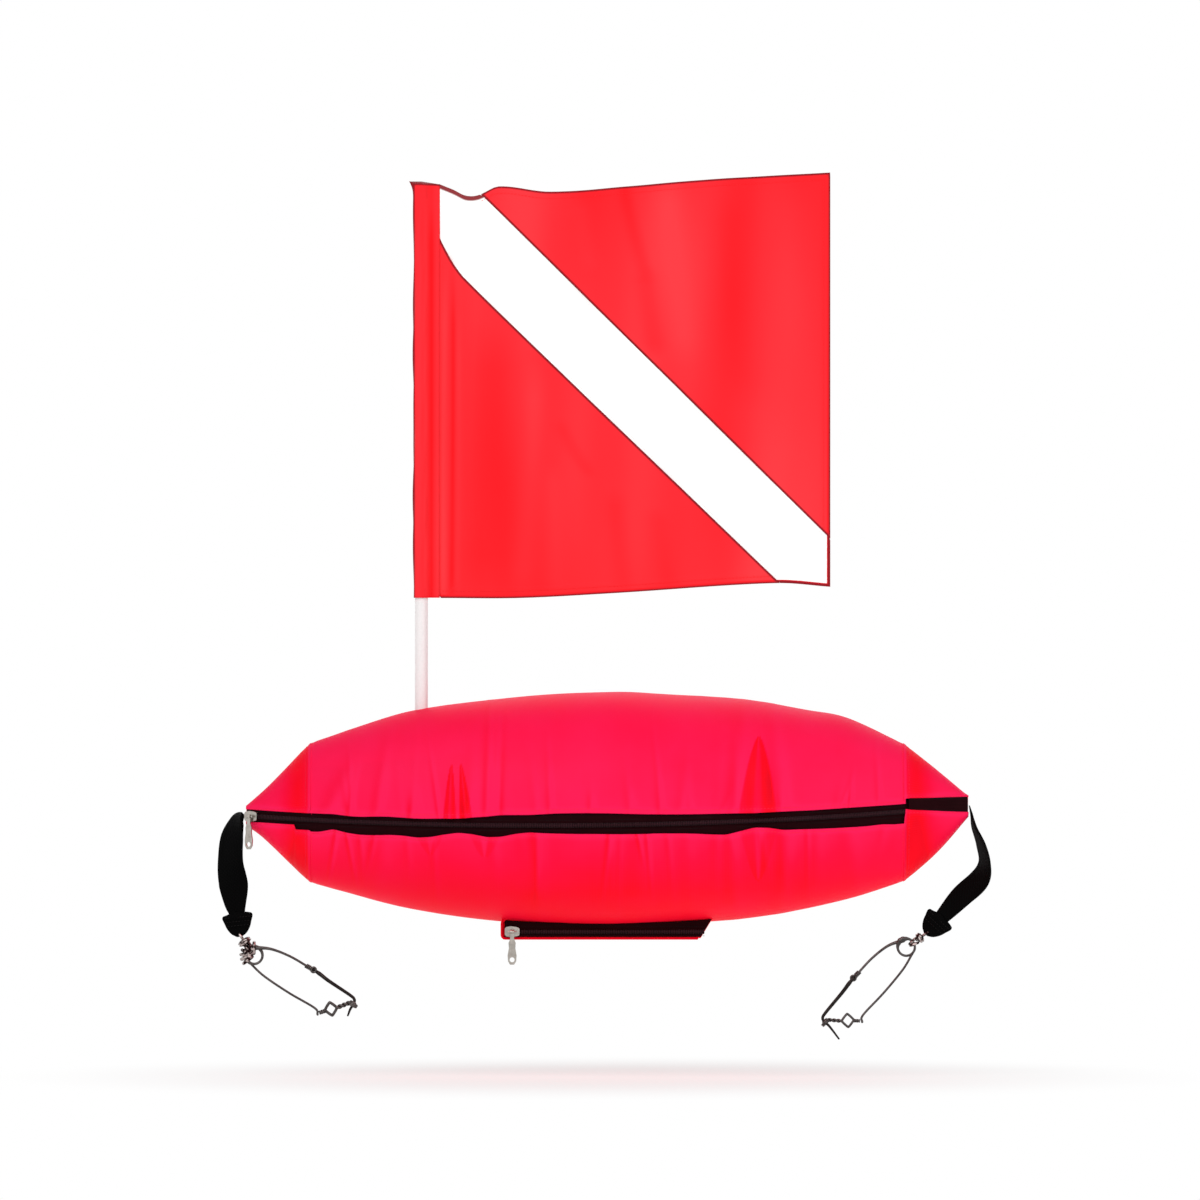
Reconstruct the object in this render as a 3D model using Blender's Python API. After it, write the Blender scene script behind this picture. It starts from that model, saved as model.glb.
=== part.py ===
"""Dive flag float: an inflatable torpedo float in a zipped nylon cover, with a flag on a pole,
a keel pocket for ballast, and a webbing strap with a swivel and a wire clip at each tip.

The frame: +X along the float, the zip faces -Y, +Z up. The origin is the float's middle at the waterline.
"""

import math

import bmesh
import bpy
from mathutils import Matrix, Vector

MM = 0.001

# Clearances
GAP = 0.3 * MM
OVERRUN = 5 * MM

# Float: the cover's outline, seen from the front
FLOAT_LENGTH = 616 * MM
FLOAT_HALF_DEPTH = 98 * MM
TIP_HALF_DEPTH = 8 * MM
CROWN_HEIGHT = 111.7 * MM
KEEL_DEPTH = 87 * MM
NOSE_LENGTH = 54 * MM
CLOTH_WALL = 0.8 * MM

# Zip along the front of the float
ZIP_HEIGHT = -2.0 * MM
ZIP_FRONT_DROP = 11.8 * MM
ZIP_END_RISE = 4.3 * MM
ZIP_HALF_WIDTH = 9.5 * MM
ZIP_NOSE_HALF_WIDTH = 7.0 * MM
TAPE_WALL = 0.8 * MM
CHAIN_WIDTH = 4.6 * MM
CHAIN_HEIGHT = 1.5 * MM
ZIP_END_MARGIN = 1.5 * MM

# Folds where the filled cover puckers over the zip: place along X, half width, height, depth
FOLD_A_PLACE = -123 * MM
FOLD_A_HALF_WIDTH = 9 * MM
FOLD_A_HEIGHT = 42 * MM
FOLD_A_DEPTH = 2.2 * MM
FOLD_B_PLACE = 128 * MM
FOLD_B_HALF_WIDTH = 17 * MM
FOLD_B_HEIGHT = 62 * MM
FOLD_B_DEPTH = 4.0 * MM

# Zip slider and its pull
SLIDER_LENGTH = 12.5 * MM
SLIDER_WIDTH = 9.2 * MM
SLIDER_PLATE = 1.4 * MM
SLIDER_FLANGE = 1.1 * MM
SLIDER_CLEARANCE = 0.45 * MM
BAIL_RADIUS = 0.75 * MM
BAIL_STANDOFF = 1.6 * MM
BAIL_POST_SHARE = 1.2
PULL_LENGTH = 28 * MM
PULL_WIDTH = 7.7 * MM
PULL_NECK_WIDTH = 3.4 * MM
PULL_WALL = 1.3 * MM
PULL_EYE_WALL = 0.8 * MM
PULL_HOLE_RADIUS = 2.1 * MM
SLIDER_PLACE = -302 * MM

# Inflatable bladder inside the cover
BLADDER_INSET = 2.3 * MM
BLADDER_WALL = 0.8 * MM
BLADDER_LENGTH = 566 * MM
VALVE_PLACE = 140 * MM
VALVE_AROUND_SHARE = 0.34
VALVE_RADIUS = 4.7 * MM
VALVE_BORE = 3.2 * MM
VALVE_LENGTH = 14 * MM
VALVE_FLANGE_RADIUS = 8 * MM
VALVE_FLANGE_WALL = 1 * MM
VALVE_FLANGE_DEPTH = 3.2 * MM
PLUG_NOSE_SHARE = 0.8
PLUG_LENGTH_SHARE = 0.7
PLUG_TAPER_SHARE = 0.5
SKIN_SAG = 1.0 * MM

# Flag pole and its socket
POLE_PLACE = -158.5 * MM
POLE_RADIUS = 5.5 * MM
POLE_WALL = 1.4 * MM
POLE_TOP = 528 * MM
SOCKET_DEPTH = 112 * MM
SOCKET_WALL = 1.6 * MM
SOCKET_FLANGE_RADIUS = 14 * MM
SOCKET_FLANGE_WALL = 1.5 * MM
CAP_WALL = 3 * MM
CAP_SHANK = 9 * MM
CAP_LIP_SHARE = 0.85
CAP_EDGE_SHARE = 0.3
CAP_NOSE_SHARE = 0.8

# Flag: hoist sleeve round the pole, two red panels and the white stripe between them
FLAG_WIDTH = 333.4 * MM
FLAG_HEIGHT = 353.6 * MM
FLAG_BOTTOM = 178.3 * MM
FLAG_WALL = 0.8 * MM
FLAG_RIPPLE = 4.5 * MM
FLAG_RIPPLE_LENGTH = 128 * MM
SLEEVE_WIDTH = 21.5 * MM
SLEEVE_SEAM_WALL = 2.4 * MM
SLEEVE_OPENING = math.radians(62)

# Keel pocket under the belly, with its own zip and the ballast in it
POCKET_LENGTH = 170 * MM
POCKET_REACH_SHARE = 0.75
POCKET_CENTRE = -5.5 * MM
POCKET_DEPTH = 52 * MM
POCKET_BOTTOM = -112.5 * MM
POCKET_RISE = 20 * MM
POCKET_WALL = 1.0 * MM
POCKET_LEAN = 12 * MM
POCKET_LIP = 2.2 * MM
POCKET_ZIP_HEIGHT = -105.6 * MM
POCKET_END_WALL = 3 * MM
BALLAST_LENGTH = 110 * MM
BALLAST_DEPTH = 36 * MM
BALLAST_HEIGHT = 8 * MM
BALLAST_CORNER = 2.5 * MM

# Webbing straps at the tips
WEBBING_WIDTH = 25 * MM
WEBBING_WALL = 1.6 * MM
STRAP_DROP = 88 * MM
ANCHOR_LENGTH = 18 * MM
ANCHOR_SHRINK = 1.6 * MM
LOBE_LENGTH = 19.6 * MM
LOBE_WIDTH = 25.5 * MM
LOBE_WALL = 3.0 * MM
LOBE_HOLE_RADIUS = 1.8 * MM
LOBE_HOLE_EDGE = 2.9 * MM
LOBE_ROUND = 1.2 * MM

# Swivel between strap and clip
SWIVEL_WIRE_RADIUS = 0.8 * MM
SWIVEL_STRAP_EYE = 3.1 * MM
SWIVEL_CLIP_EYE = 3.5 * MM
BARREL_LENGTH = 4.4 * MM
BARREL_RADIUS = 3.2 * MM
BARREL_BORE_DEPTH = 2.2 * MM
BARREL_SHOULDER = 1.2 * MM
BARREL_NECK_SHARE = 0.55
BARREL_MOUTH_SHARE = 0.6

# Wire clip: sizes from its coil's centre to the far bend, and across
CLIP_LENGTH = 94 * MM
CLIP_WIDTH = 27.5 * MM
CLIP_COIL_RADIUS = 7.3 * MM
CLIP_WIRE_RADIUS = 1.0 * MM
CLIP_COIL_PITCH = 2.4 * MM
GATE_WIRE_RADIUS = 1.3 * MM
GATE_PIN_RADIUS = 0.6 * MM
GATE_EYE_RADIUS = 2.0 * MM
LINK_WIRE_RADIUS = 0.9 * MM
LINK_EYE_RADIUS = 3.1 * MM
LINK_DIAMOND_RADIUS = 4.4 * MM

HALF_LENGTH = FLOAT_LENGTH / 2
SEAM_PLACE = HALF_LENGTH - NOSE_LENGTH


for old in list(bpy.data.objects):
    bpy.data.objects.remove(old, do_unlink=True)


# Materials

def material(name, colour, roughness, metallic=0.0):
    made = bpy.data.materials.new(name)
    made.use_nodes = True
    shader = made.node_tree.nodes["Principled BSDF"]
    shader.inputs["Base Color"].default_value = (*colour, 1.0)
    shader.inputs["Roughness"].default_value = roughness
    shader.inputs["Metallic"].default_value = metallic
    return made


RED_NYLON = material("red_nylon", (0.95, 0.01, 0.06), 0.5)
DEEP_RED_NYLON = material("deep_red_nylon", (0.85, 0.005, 0.03), 0.5)
FLAG_RED = material("flag_red_nylon", (0.95, 0.03, 0.04), 0.6)
FLAG_WHITE = material("flag_white_nylon", (0.93, 0.93, 0.93), 0.6)
BLACK_TAPE = material("black_zip_tape", (0.02, 0.015, 0.015), 0.8)
BLACK_NYLON = material("black_zip_coil", (0.03, 0.03, 0.03), 0.4)
BLACK_WEBBING = material("black_webbing", (0.01, 0.01, 0.01), 0.85)
NICKEL = material("nickel_plate", (0.72, 0.70, 0.68), 0.25, 1.0)
STEEL_WIRE = material("stainless_wire", (0.55, 0.54, 0.53), 0.3, 1.0)
WHITE_PLASTIC = material("white_plastic", (0.92, 0.92, 0.90), 0.45)
BLACK_RUBBER = material("black_rubber", (0.03, 0.03, 0.03), 0.8)
CLEAR_VINYL = material("bladder_vinyl", (0.80, 0.82, 0.84), 0.35)
GREY_LEAD = material("ballast_lead", (0.25, 0.26, 0.27), 0.6, 0.6)


# Mesh helpers

def finish(shape, name):
    """Closes seams, points the faces out and returns the mesh."""
    bmesh.ops.remove_doubles(shape, verts=shape.verts, dist=1e-6)
    bmesh.ops.recalc_face_normals(shape, faces=shape.faces)
    mesh = bpy.data.meshes.new(name)
    shape.to_mesh(mesh)
    shape.free()
    mesh.shade_smooth()
    mesh.set_sharp_from_angle(angle=math.radians(35))
    return mesh


def add_part(name, mesh, finish_material, parent=None):
    part = bpy.data.objects.new(name, mesh)
    part.data.materials.clear()
    part.data.materials.append(finish_material)
    bpy.context.collection.objects.link(part)
    part.parent = parent
    return part


def add_empty(name, matrix):
    guide = bpy.data.objects.new(name, None)
    guide.matrix_world = matrix
    guide.hide_render = True
    bpy.context.collection.objects.link(guide)
    return guide


def move_origin(part, place):
    """Puts the origin of a part on its joint's axis."""
    part.data.transform(Matrix.Translation(-Vector(place)))
    part.location = place


def combine(mesh, other, operation):
    """Boolean of two closed meshes."""
    base = bpy.data.objects.new("base", mesh)
    tool = bpy.data.objects.new("tool", other)
    bpy.context.collection.objects.link(base)
    bpy.context.collection.objects.link(tool)
    change = base.modifiers.new("combine", "BOOLEAN")
    change.operation = operation
    change.solver = "EXACT"
    change.object = tool
    bpy.context.view_layer.update()
    graph = bpy.context.evaluated_depsgraph_get()
    made = bpy.data.meshes.new_from_object(base.evaluated_get(graph))
    bpy.data.objects.remove(base)
    bpy.data.objects.remove(tool)
    return made


def slab(front, back, name="slab", loop=False):
    """Closed solid between two grids of points with the same rows and columns."""
    shape = bmesh.new()
    fronts = [[shape.verts.new(point) for point in row] for row in front]
    backs = [[shape.verts.new(point) for point in row] for row in back]
    rows = len(front)
    columns = len(front[0])
    spans = columns if loop else columns - 1
    for i in range(rows - 1):
        for j in range(spans):
            k = (j + 1) % columns
            shape.faces.new((fronts[i][j], fronts[i][k], fronts[i + 1][k], fronts[i + 1][j]))
            shape.faces.new((backs[i][j], backs[i + 1][j], backs[i + 1][k], backs[i][k]))
    for i in (0, rows - 1):
        for j in range(spans):
            k = (j + 1) % columns
            shape.faces.new((fronts[i][j], backs[i][j], backs[i][k], fronts[i][k]))
    if not loop:
        for j in (0, columns - 1):
            for i in range(rows - 1):
                shape.faces.new((fronts[i][j], fronts[i + 1][j], backs[i + 1][j], backs[i][j]))
    return finish(shape, name)


def loft(rings, name="loft", closed=False):
    """Skin over rings of points, capped at both ends or closed into a loop."""
    shape = bmesh.new()
    loops = [[shape.verts.new(point) for point in ring] for ring in rings]
    sides = len(rings[0])
    count = len(rings)
    for i in range(count if closed else count - 1):
        near = loops[i]
        far = loops[(i + 1) % count]
        for j in range(sides):
            k = (j + 1) % sides
            shape.faces.new((near[j], near[k], far[k], far[j]))
    if not closed:
        shape.faces.new(loops[0])
        shape.faces.new(loops[-1])
    return finish(shape, name)


def turned(profile, sides, name="turned"):
    """A closed profile of (radius, height) points turned round Z."""
    rings = []
    for step in range(sides):
        turn = math.tau * step / sides
        ring = [(r * math.cos(turn), r * math.sin(turn), z) for r, z in profile]
        rings.append(ring)
    return loft(rings, name, closed=True)


def solid_turned(profile, sides, name="solid"):
    """A solid of revolution: rings of (radius, height), flat at both ends."""
    rings = []
    for radius, height in profile:
        ring = []
        for step in range(sides):
            turn = math.tau * step / sides
            ring.append((radius * math.cos(turn), radius * math.sin(turn), height))
        rings.append(ring)
    return loft(rings, name)


def prism(outline, bottom, top, name="prism"):
    """An outline of (x, y) points extruded along Z."""
    return loft([[(x, y, z) for x, y in outline] for z in (bottom, top)], name)


def block(size, centre=(0, 0, 0), name="block", corner=0):
    """A box with its edges rounded off by one bevel."""
    shape = bmesh.new()
    bmesh.ops.create_cube(shape, size=1)
    bmesh.ops.scale(shape, vec=size, verts=shape.verts)
    if corner:
        bmesh.ops.bevel(shape, geom=shape.edges, offset=corner, segments=2, profile=0.5, affect="EDGES")
    bmesh.ops.translate(shape, vec=centre, verts=shape.verts)
    return finish(shape, name)


def swept(path, radius, sides, name="wire", closed=False):
    """A round wire along a path, with frames carried without twist."""
    points = [Vector(point) for point in path]
    count = len(points)
    tangents = []
    for i in range(count):
        before = points[(i - 1) % count] if closed or i > 0 else points[i]
        after = points[(i + 1) % count] if closed or i < count - 1 else points[i]
        tangents.append((after - before).normalized())
    side = tangents[0].orthogonal().normalized()
    rings = []
    for point, tangent in zip(points, tangents):
        side = (side - tangent * side.dot(tangent)).normalized()
        other = tangent.cross(side)
        ring = []
        for step in range(sides):
            turn = math.tau * step / sides
            ring.append(point + radius * (math.cos(turn) * side + math.sin(turn) * other))
        rings.append(ring)
    return loft(rings, name, closed)


def ring_mesh(radius, wire_radius, steps, sides, flat_axis="Y", name="ring"):
    """A wire ring; flat_axis is the axis that the ring turns round."""
    circle = []
    for step in range(steps):
        turn = math.tau * step / steps
        across = radius * math.cos(turn)
        along = radius * math.sin(turn)
        circle.append((across, 0, along) if flat_axis == "Y" else (along, across, 0))
    return swept(circle, wire_radius, sides, name, closed=True)


def smooth_path(knots, steps):
    """Points of a smooth curve through the knots, with the same number of steps in each span."""
    knots = [Vector(knot) for knot in knots]
    path = []
    for i in range(len(knots) - 1):
        start, end = knots[i], knots[i + 1]
        before = knots[i - 1] if i > 0 else start * 2 - end
        after = knots[i + 2] if i < len(knots) - 2 else end * 2 - start
        for step in range(steps):
            t = step / steps
            pull_in = (end - before) / 2
            pull_out = (after - start) / 2
            point = (2 * t ** 3 - 3 * t ** 2 + 1) * start + (t ** 3 - 2 * t ** 2 + t) * pull_in
            point = point + (3 * t ** 2 - 2 * t ** 3) * end + (t ** 3 - t ** 2) * pull_out
            path.append(point)
    path.append(knots[-1])
    return path


def table_value(table, place):
    """Smooth value at a place from a table of (place, value) pairs."""
    places = [pair[0] for pair in table]
    values = [pair[1] for pair in table]
    last = len(table) - 1
    i = 0
    while i < last - 1 and place > places[i + 1]:
        i += 1

    def slope(k):
        low = max(k - 1, 0)
        high = min(k + 1, last)
        return (values[high] - values[low]) / (places[high] - places[low])

    span = places[i + 1] - places[i]
    t = (place - places[i]) / span
    value = (2 * t ** 3 - 3 * t ** 2 + 1) * values[i] + (t ** 3 - 2 * t ** 2 + t) * span * slope(i)
    return value + (3 * t ** 2 - 2 * t ** 3) * values[i + 1] + (t ** 3 - t ** 2) * span * slope(i + 1)


# The zip's line: an arc seen from above, in a plane that dips to the front and rises to the right

ZIP_BULGE = FLOAT_HALF_DEPTH - TIP_HALF_DEPTH
ZIP_RADIUS = (HALF_LENGTH ** 2 + ZIP_BULGE ** 2) / (2 * ZIP_BULGE)
ZIP_DIP = math.atan2(ZIP_FRONT_DROP, FLOAT_HALF_DEPTH)
ZIP_ROLL = math.atan2(ZIP_END_RISE, HALF_LENGTH)
ZIP_PLANE = Matrix.Rotation(-ZIP_ROLL, 3, "Y") @ Matrix.Rotation(ZIP_DIP, 3, "X")
ZIP_FRONT = Vector((0, -FLOAT_HALF_DEPTH, ZIP_HEIGHT - ZIP_FRONT_DROP))
ZIP_CENTRE = ZIP_FRONT + ZIP_PLANE @ Vector((0, ZIP_RADIUS, 0))
ZIP_AXIS = ZIP_PLANE @ Vector((0, 0, 1))


def zip_point(turn, inset=0.0):
    """A point of the zip's line; the turn is zero at the middle of the front."""
    reach = ZIP_RADIUS - inset
    return ZIP_CENTRE + ZIP_PLANE @ Vector((reach * math.sin(turn), -reach * math.cos(turn), 0))


def turn_at(place):
    return math.asin(place / ZIP_RADIUS)


# Outline of the cover above and below the zip: (share of the half length, share of the height)
UPPER_NOSE_LEFT_SHARES = ((-1, 0.075), (-0.93, 0.255), (-0.825, 0.579))
UPPER_BODY_SHARES = (
    (-0.825, 0.579), (-0.68, 0.735), (-0.535, 0.858), (-0.27, 0.967), (0, 0.996),
    (0.09, 0.994), (0.373, 0.920), (0.56, 0.820), (0.66, 0.752), (0.825, 0.500),
)
UPPER_NOSE_RIGHT_SHARES = ((0.825, 0.500), (0.933, 0.241), (1, 0.072))
LOWER_NOSE_LEFT_SHARES = ((-1, 0.095), (-0.948, 0.215), (-0.825, 0.620))
LOWER_BODY_SHARES = (
    (-0.825, 0.620), (-0.68, 0.746), (-0.555, 0.840), (-0.297, 0.964), (0, 1.0),
    (0.26, 0.990), (0.49, 0.934), (0.66, 0.84), (0.825, 0.680),
)
LOWER_NOSE_RIGHT_SHARES = ((0.825, 0.680), (0.92, 0.41), (1, 0.11))


def outline_height(side, place):
    """Height of the cover's outline above (side 1) or below (side -1) the zip."""
    share = max(-1.0, min(1.0, place / HALF_LENGTH))
    seam_share = SEAM_PLACE / HALF_LENGTH
    if side > 0:
        tables = (UPPER_NOSE_LEFT_SHARES, UPPER_BODY_SHARES, UPPER_NOSE_RIGHT_SHARES)
        full = CROWN_HEIGHT
    else:
        tables = (LOWER_NOSE_LEFT_SHARES, LOWER_BODY_SHARES, LOWER_NOSE_RIGHT_SHARES)
        full = KEEL_DEPTH
    table = tables[1]
    if share < -seam_share:
        table = tables[0]
    if share > seam_share:
        table = tables[2]
    return full * table_value(table, share)


def fold(place, height):
    """How far the cloth stands out at a fold that rises from the zip and runs out at its top."""
    folds = (
        (FOLD_A_PLACE, FOLD_A_HALF_WIDTH, FOLD_A_HEIGHT, FOLD_A_DEPTH),
        (FOLD_B_PLACE, FOLD_B_HALF_WIDTH, FOLD_B_HEIGHT, FOLD_B_DEPTH),
    )
    out = 0.0
    for middle, half_width, rise, depth in folds:
        left = max(0.0, 1 - abs(place - middle) / half_width)
        out = max(out, depth * left * max(0.0, 1 - height / rise))
    return out


def skin_point(turn, side, around, inset, hem, folded=True):
    """A point of the cover; around runs from 0 at the zip, over the top or keel, to 2 at the back."""
    front = zip_point(turn)
    height = outline_height(side, front.x) - inset
    depth = -front.y - inset
    angle = around * math.pi / 2
    rise = (height - hem) * math.sin(angle)
    out = depth * math.cos(angle)
    if folded and side > 0 and around < 1:
        out += fold(front.x, rise)
    return Vector((front.x, -out, front.z + side * (hem + rise)))


def body_turns(start, end, spans):
    """Stations along the cover: even ones, with three more at each fold."""
    turns = [start + (end - start) * step / spans for step in range(spans + 1)]
    extra = []
    for middle, half_width in ((FOLD_A_PLACE, FOLD_A_HALF_WIDTH), (FOLD_B_PLACE, FOLD_B_HALF_WIDTH)):
        extra += [turn_at(middle + half_width * share) for share in (-1, 0, 1)]
    least = (end - start) / spans / 3
    kept = [turn for turn in turns if all(abs(turn - other) > least for other in extra)]
    return sorted(kept + extra)


# Cover

BODY_STEPS = 22
AROUND_STEPS = 12
NOSE_STEPS = 4
SEAM_TURN = turn_at(SEAM_PLACE)
SEAM_TURN_GAP = GAP / ZIP_RADIUS
SEAM_PAIR_REACH = SEAM_TURN_GAP * 3
TIP_TURN = turn_at(HALF_LENGTH)


def cover_panel(side):
    """One half of the cover, from the zip over the crown or keel to the seam at the back."""
    turns = body_turns(-SEAM_TURN + SEAM_TURN_GAP, SEAM_TURN - SEAM_TURN_GAP, BODY_STEPS)
    outer, inner = [], []
    for turn in turns:
        rows = []
        for inset in (0.0, CLOTH_WALL):
            around = [2 * step / AROUND_STEPS for step in range(AROUND_STEPS + 1)]
            row = [skin_point(turn, side, share, inset, ZIP_HALF_WIDTH) for share in around]
            seam = row[-1].copy()
            seam.z = zip_point(turn).z + side * GAP / 2
            rows.append(row + [seam])
        outer.append(rows[0])
        inner.append(rows[1])
    return slab(outer, inner, "cover_panel")


def nose_panel(end):
    """The reinforced tip of the cover, open along the zip at the front."""
    start = end * (SEAM_TURN + SEAM_TURN_GAP)
    stop = end * TIP_TURN
    outer, inner = [], []
    for step in range(NOSE_STEPS + 1):
        turn = start + (stop - start) * step / NOSE_STEPS
        rows = []
        for inset in (0.0, CLOTH_WALL):
            around = [2 * share / AROUND_STEPS for share in range(AROUND_STEPS + 1)]
            over = [skin_point(turn, 1, share, inset, ZIP_NOSE_HALF_WIDTH) for share in around]
            under = [skin_point(turn, -1, share, inset, ZIP_NOSE_HALF_WIDTH) for share in around]
            rows.append(over + under[::-1])
        outer.append(rows[0])
        inner.append(rows[1])
    return slab(outer, inner, "nose_panel")


def skin_height(place, across, inset):
    """Height of the upper skin over a point of the plan."""
    front = zip_point(turn_at(place))
    height = outline_height(1, place) - inset - ZIP_HALF_WIDTH
    depth = -front.y - inset
    return front.z + ZIP_HALF_WIDTH + height * math.sqrt(1 - (across / depth) ** 2)


def pole_cutter(radius, bottom, top):
    cutter = solid_turned(((radius, bottom), (radius, top)), 24)
    cutter.transform(Matrix.Translation((POLE_PLACE, 0, 0)))
    return cutter


SOCKET_RADIUS = POLE_RADIUS + GAP + SOCKET_WALL
SOCKET_TOP = skin_height(POLE_PLACE - SOCKET_FLANGE_RADIUS, SOCKET_FLANGE_RADIUS, CLOTH_WALL) - SKIN_SAG
SOCKET_BOTTOM = SOCKET_TOP - SOCKET_DEPTH
SKIN_TOP = skin_height(POLE_PLACE + SOCKET_FLANGE_RADIUS, 0, 0) + OVERRUN

pole_hole = pole_cutter(POLE_RADIUS + GAP * 2, SOCKET_TOP, SKIN_TOP)
cover_upper_mesh = combine(cover_panel(1), pole_hole, "DIFFERENCE")
add_part("cover_upper", cover_upper_mesh, RED_NYLON)
add_part("cover_lower", cover_panel(-1), RED_NYLON)
add_part("cover_nose_left", nose_panel(-1), DEEP_RED_NYLON)
add_part("cover_nose_right", nose_panel(1), DEEP_RED_NYLON)


# Main zip: two tapes, the coil over their joint, and the patch over its closed end

ZIP_STEPS = 26


def zip_width(turn):
    """Half the tape's width that the cover leaves open at this place."""
    return ZIP_HALF_WIDTH if abs(turn) <= SEAM_TURN else ZIP_NOSE_HALF_WIDTH


def zip_turns(start, end, spans):
    """Even stations, with a pair on either side of each nose seam inside the run."""
    turns = [start + (end - start) * step / spans for step in range(spans + 1)]
    least = (end - start) / spans / 4
    seams = [-SEAM_TURN, SEAM_TURN]
    kept = [turn for turn in turns if all(abs(turn - seam) > least for seam in seams)]
    for seam in seams:
        if start < seam < end:
            kept += [seam - SEAM_TURN_GAP * 2, seam + SEAM_TURN_GAP * 2]
    return sorted(kept)


def zip_tape(side):
    """One woven tape, from the cover's hem to the slit under the coil."""
    end_turn = turn_at(HALF_LENGTH - ZIP_END_MARGIN)
    front, back = [], []
    for turn in zip_turns(-end_turn, end_turn, ZIP_STEPS):
        edge = zip_width(turn) - GAP
        if abs(abs(turn) - SEAM_TURN) < SEAM_PAIR_REACH:
            edge = ZIP_NOSE_HALF_WIDTH - GAP
        rows = []
        for inset in (0.0, TAPE_WALL):
            middle = zip_point(turn, inset)
            low = middle + Vector((0, 0, side * GAP / 2))
            high = middle + Vector((0, 0, side * edge))
            rows.append([low, high])
        front.append(rows[0])
        back.append(rows[1])
    return slab(front, back, "zip_tape")


def coil_strip(points, outward, width, height):
    """The closed coil as a low rounded ridge that follows a line of points."""
    rings = []
    for point, out in zip(points, outward):
        ring = []
        for share, rise_share in ((-0.5, 0.0), (-0.34, 0.75), (0, 1.0), (0.34, 0.75), (0.5, 0.0)):
            ring.append(point + Vector((0, 0, width * share)) + out * (height * rise_share))
        rings.append(ring)
    return loft(rings, "coil")


def outward_at(turn):
    out = (ZIP_PLANE @ Vector((math.sin(turn), -math.cos(turn), 0)))
    out.z = 0
    return out.normalized()


def main_coil():
    end_turn = turn_at(HALF_LENGTH - ZIP_END_MARGIN * 2)
    turns = [-end_turn + 2 * end_turn * step / ZIP_STEPS for step in range(ZIP_STEPS + 1)]
    points = [zip_point(turn) + outward_at(turn) * GAP for turn in turns]
    return coil_strip(points, [outward_at(turn) for turn in turns], CHAIN_WIDTH, CHAIN_HEIGHT)


def end_patch():
    """Black tab sewn over the closed end of the zip, on the right tip."""
    start = turn_at(SEAM_PLACE + ZIP_END_MARGIN)
    stop = turn_at(HALF_LENGTH - ZIP_END_MARGIN)
    foot = CHAIN_HEIGHT + GAP * 2
    front, back = [], []
    for step in range(NOSE_STEPS + 1):
        turn = start + (stop - start) * step / NOSE_STEPS
        rows = []
        for stand in (foot + TAPE_WALL, foot):
            middle = zip_point(turn) + outward_at(turn) * stand
            edge = ZIP_NOSE_HALF_WIDTH + GAP
            row = [middle + Vector((0, 0, edge * share)) for share in (-1, -0.6, 0.6, 1)]
            drop = outward_at(turn) * (foot - GAP * 2)
            row[0] -= drop
            row[-1] -= drop
            rows.append(row)
        front.append(rows[0])
        back.append(rows[1])
    return slab(front, back, "end_patch")


add_part("main_zip_tape_upper", zip_tape(1), BLACK_TAPE)
add_part("main_zip_tape_lower", zip_tape(-1), BLACK_TAPE)
add_part("main_zip_coil", main_coil(), BLACK_NYLON)
add_part("main_zip_end_patch", end_patch(), BLACK_WEBBING)


# Zip sliders: local X along the zip, -Y out of it, Z across it

SLIDER_FOOT = SLIDER_CLEARANCE
PLATE_FOOT = GAP + CHAIN_HEIGHT + SLIDER_CLEARANCE
PLATE_FACE = PLATE_FOOT + SLIDER_PLATE
BAIL_REACH = PLATE_FACE + BAIL_STANDOFF + BAIL_RADIUS


def slider_outline():
    """Broad at the shoulders, drawn in to the tail, with clipped corners."""
    half_length = SLIDER_LENGTH / 2
    half_width = SLIDER_WIDTH / 2
    upper = (
        (-1.0, 0.55), (-0.82, 0.86), (-0.2, 1.0), (0.35, 0.92), (0.9, 0.72), (1.0, 0.5),
    )
    points = [(half_length * x, half_width * y) for x, y in upper]
    return points + [(x, -y) for x, y in points[::-1]]


def slider_mesh():
    """Moulded body with side flanges over the coil, and the bail's bar on two posts."""
    upright = Matrix.Rotation(math.pi / 2, 4, "X")
    body = prism(slider_outline(), SLIDER_FOOT, PLATE_FACE)
    channel = block(
        (SLIDER_LENGTH + OVERRUN, CHAIN_WIDTH + SLIDER_CLEARANCE * 2, PLATE_FOOT * 2),
    )
    body = combine(body, channel, "DIFFERENCE")
    post_height = BAIL_REACH - PLATE_FACE
    bar_length = PULL_NECK_WIDTH + GAP * 4 + BAIL_RADIUS * 4
    for end in (-1, 1):
        post = block(
            (BAIL_RADIUS * 2, BAIL_RADIUS * 2 * BAIL_POST_SHARE, post_height + SLIDER_PLATE),
            (end * (bar_length / 2 - BAIL_RADIUS), 0, PLATE_FACE + (post_height - SLIDER_PLATE / 2) / 2),
        )
        body = combine(body, post, "UNION")
    bar = swept(((-bar_length / 2, 0, BAIL_REACH), (bar_length / 2, 0, BAIL_REACH)), BAIL_RADIUS, 10)
    body = combine(body, bar, "UNION")
    body.transform(upright)
    return body


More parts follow.
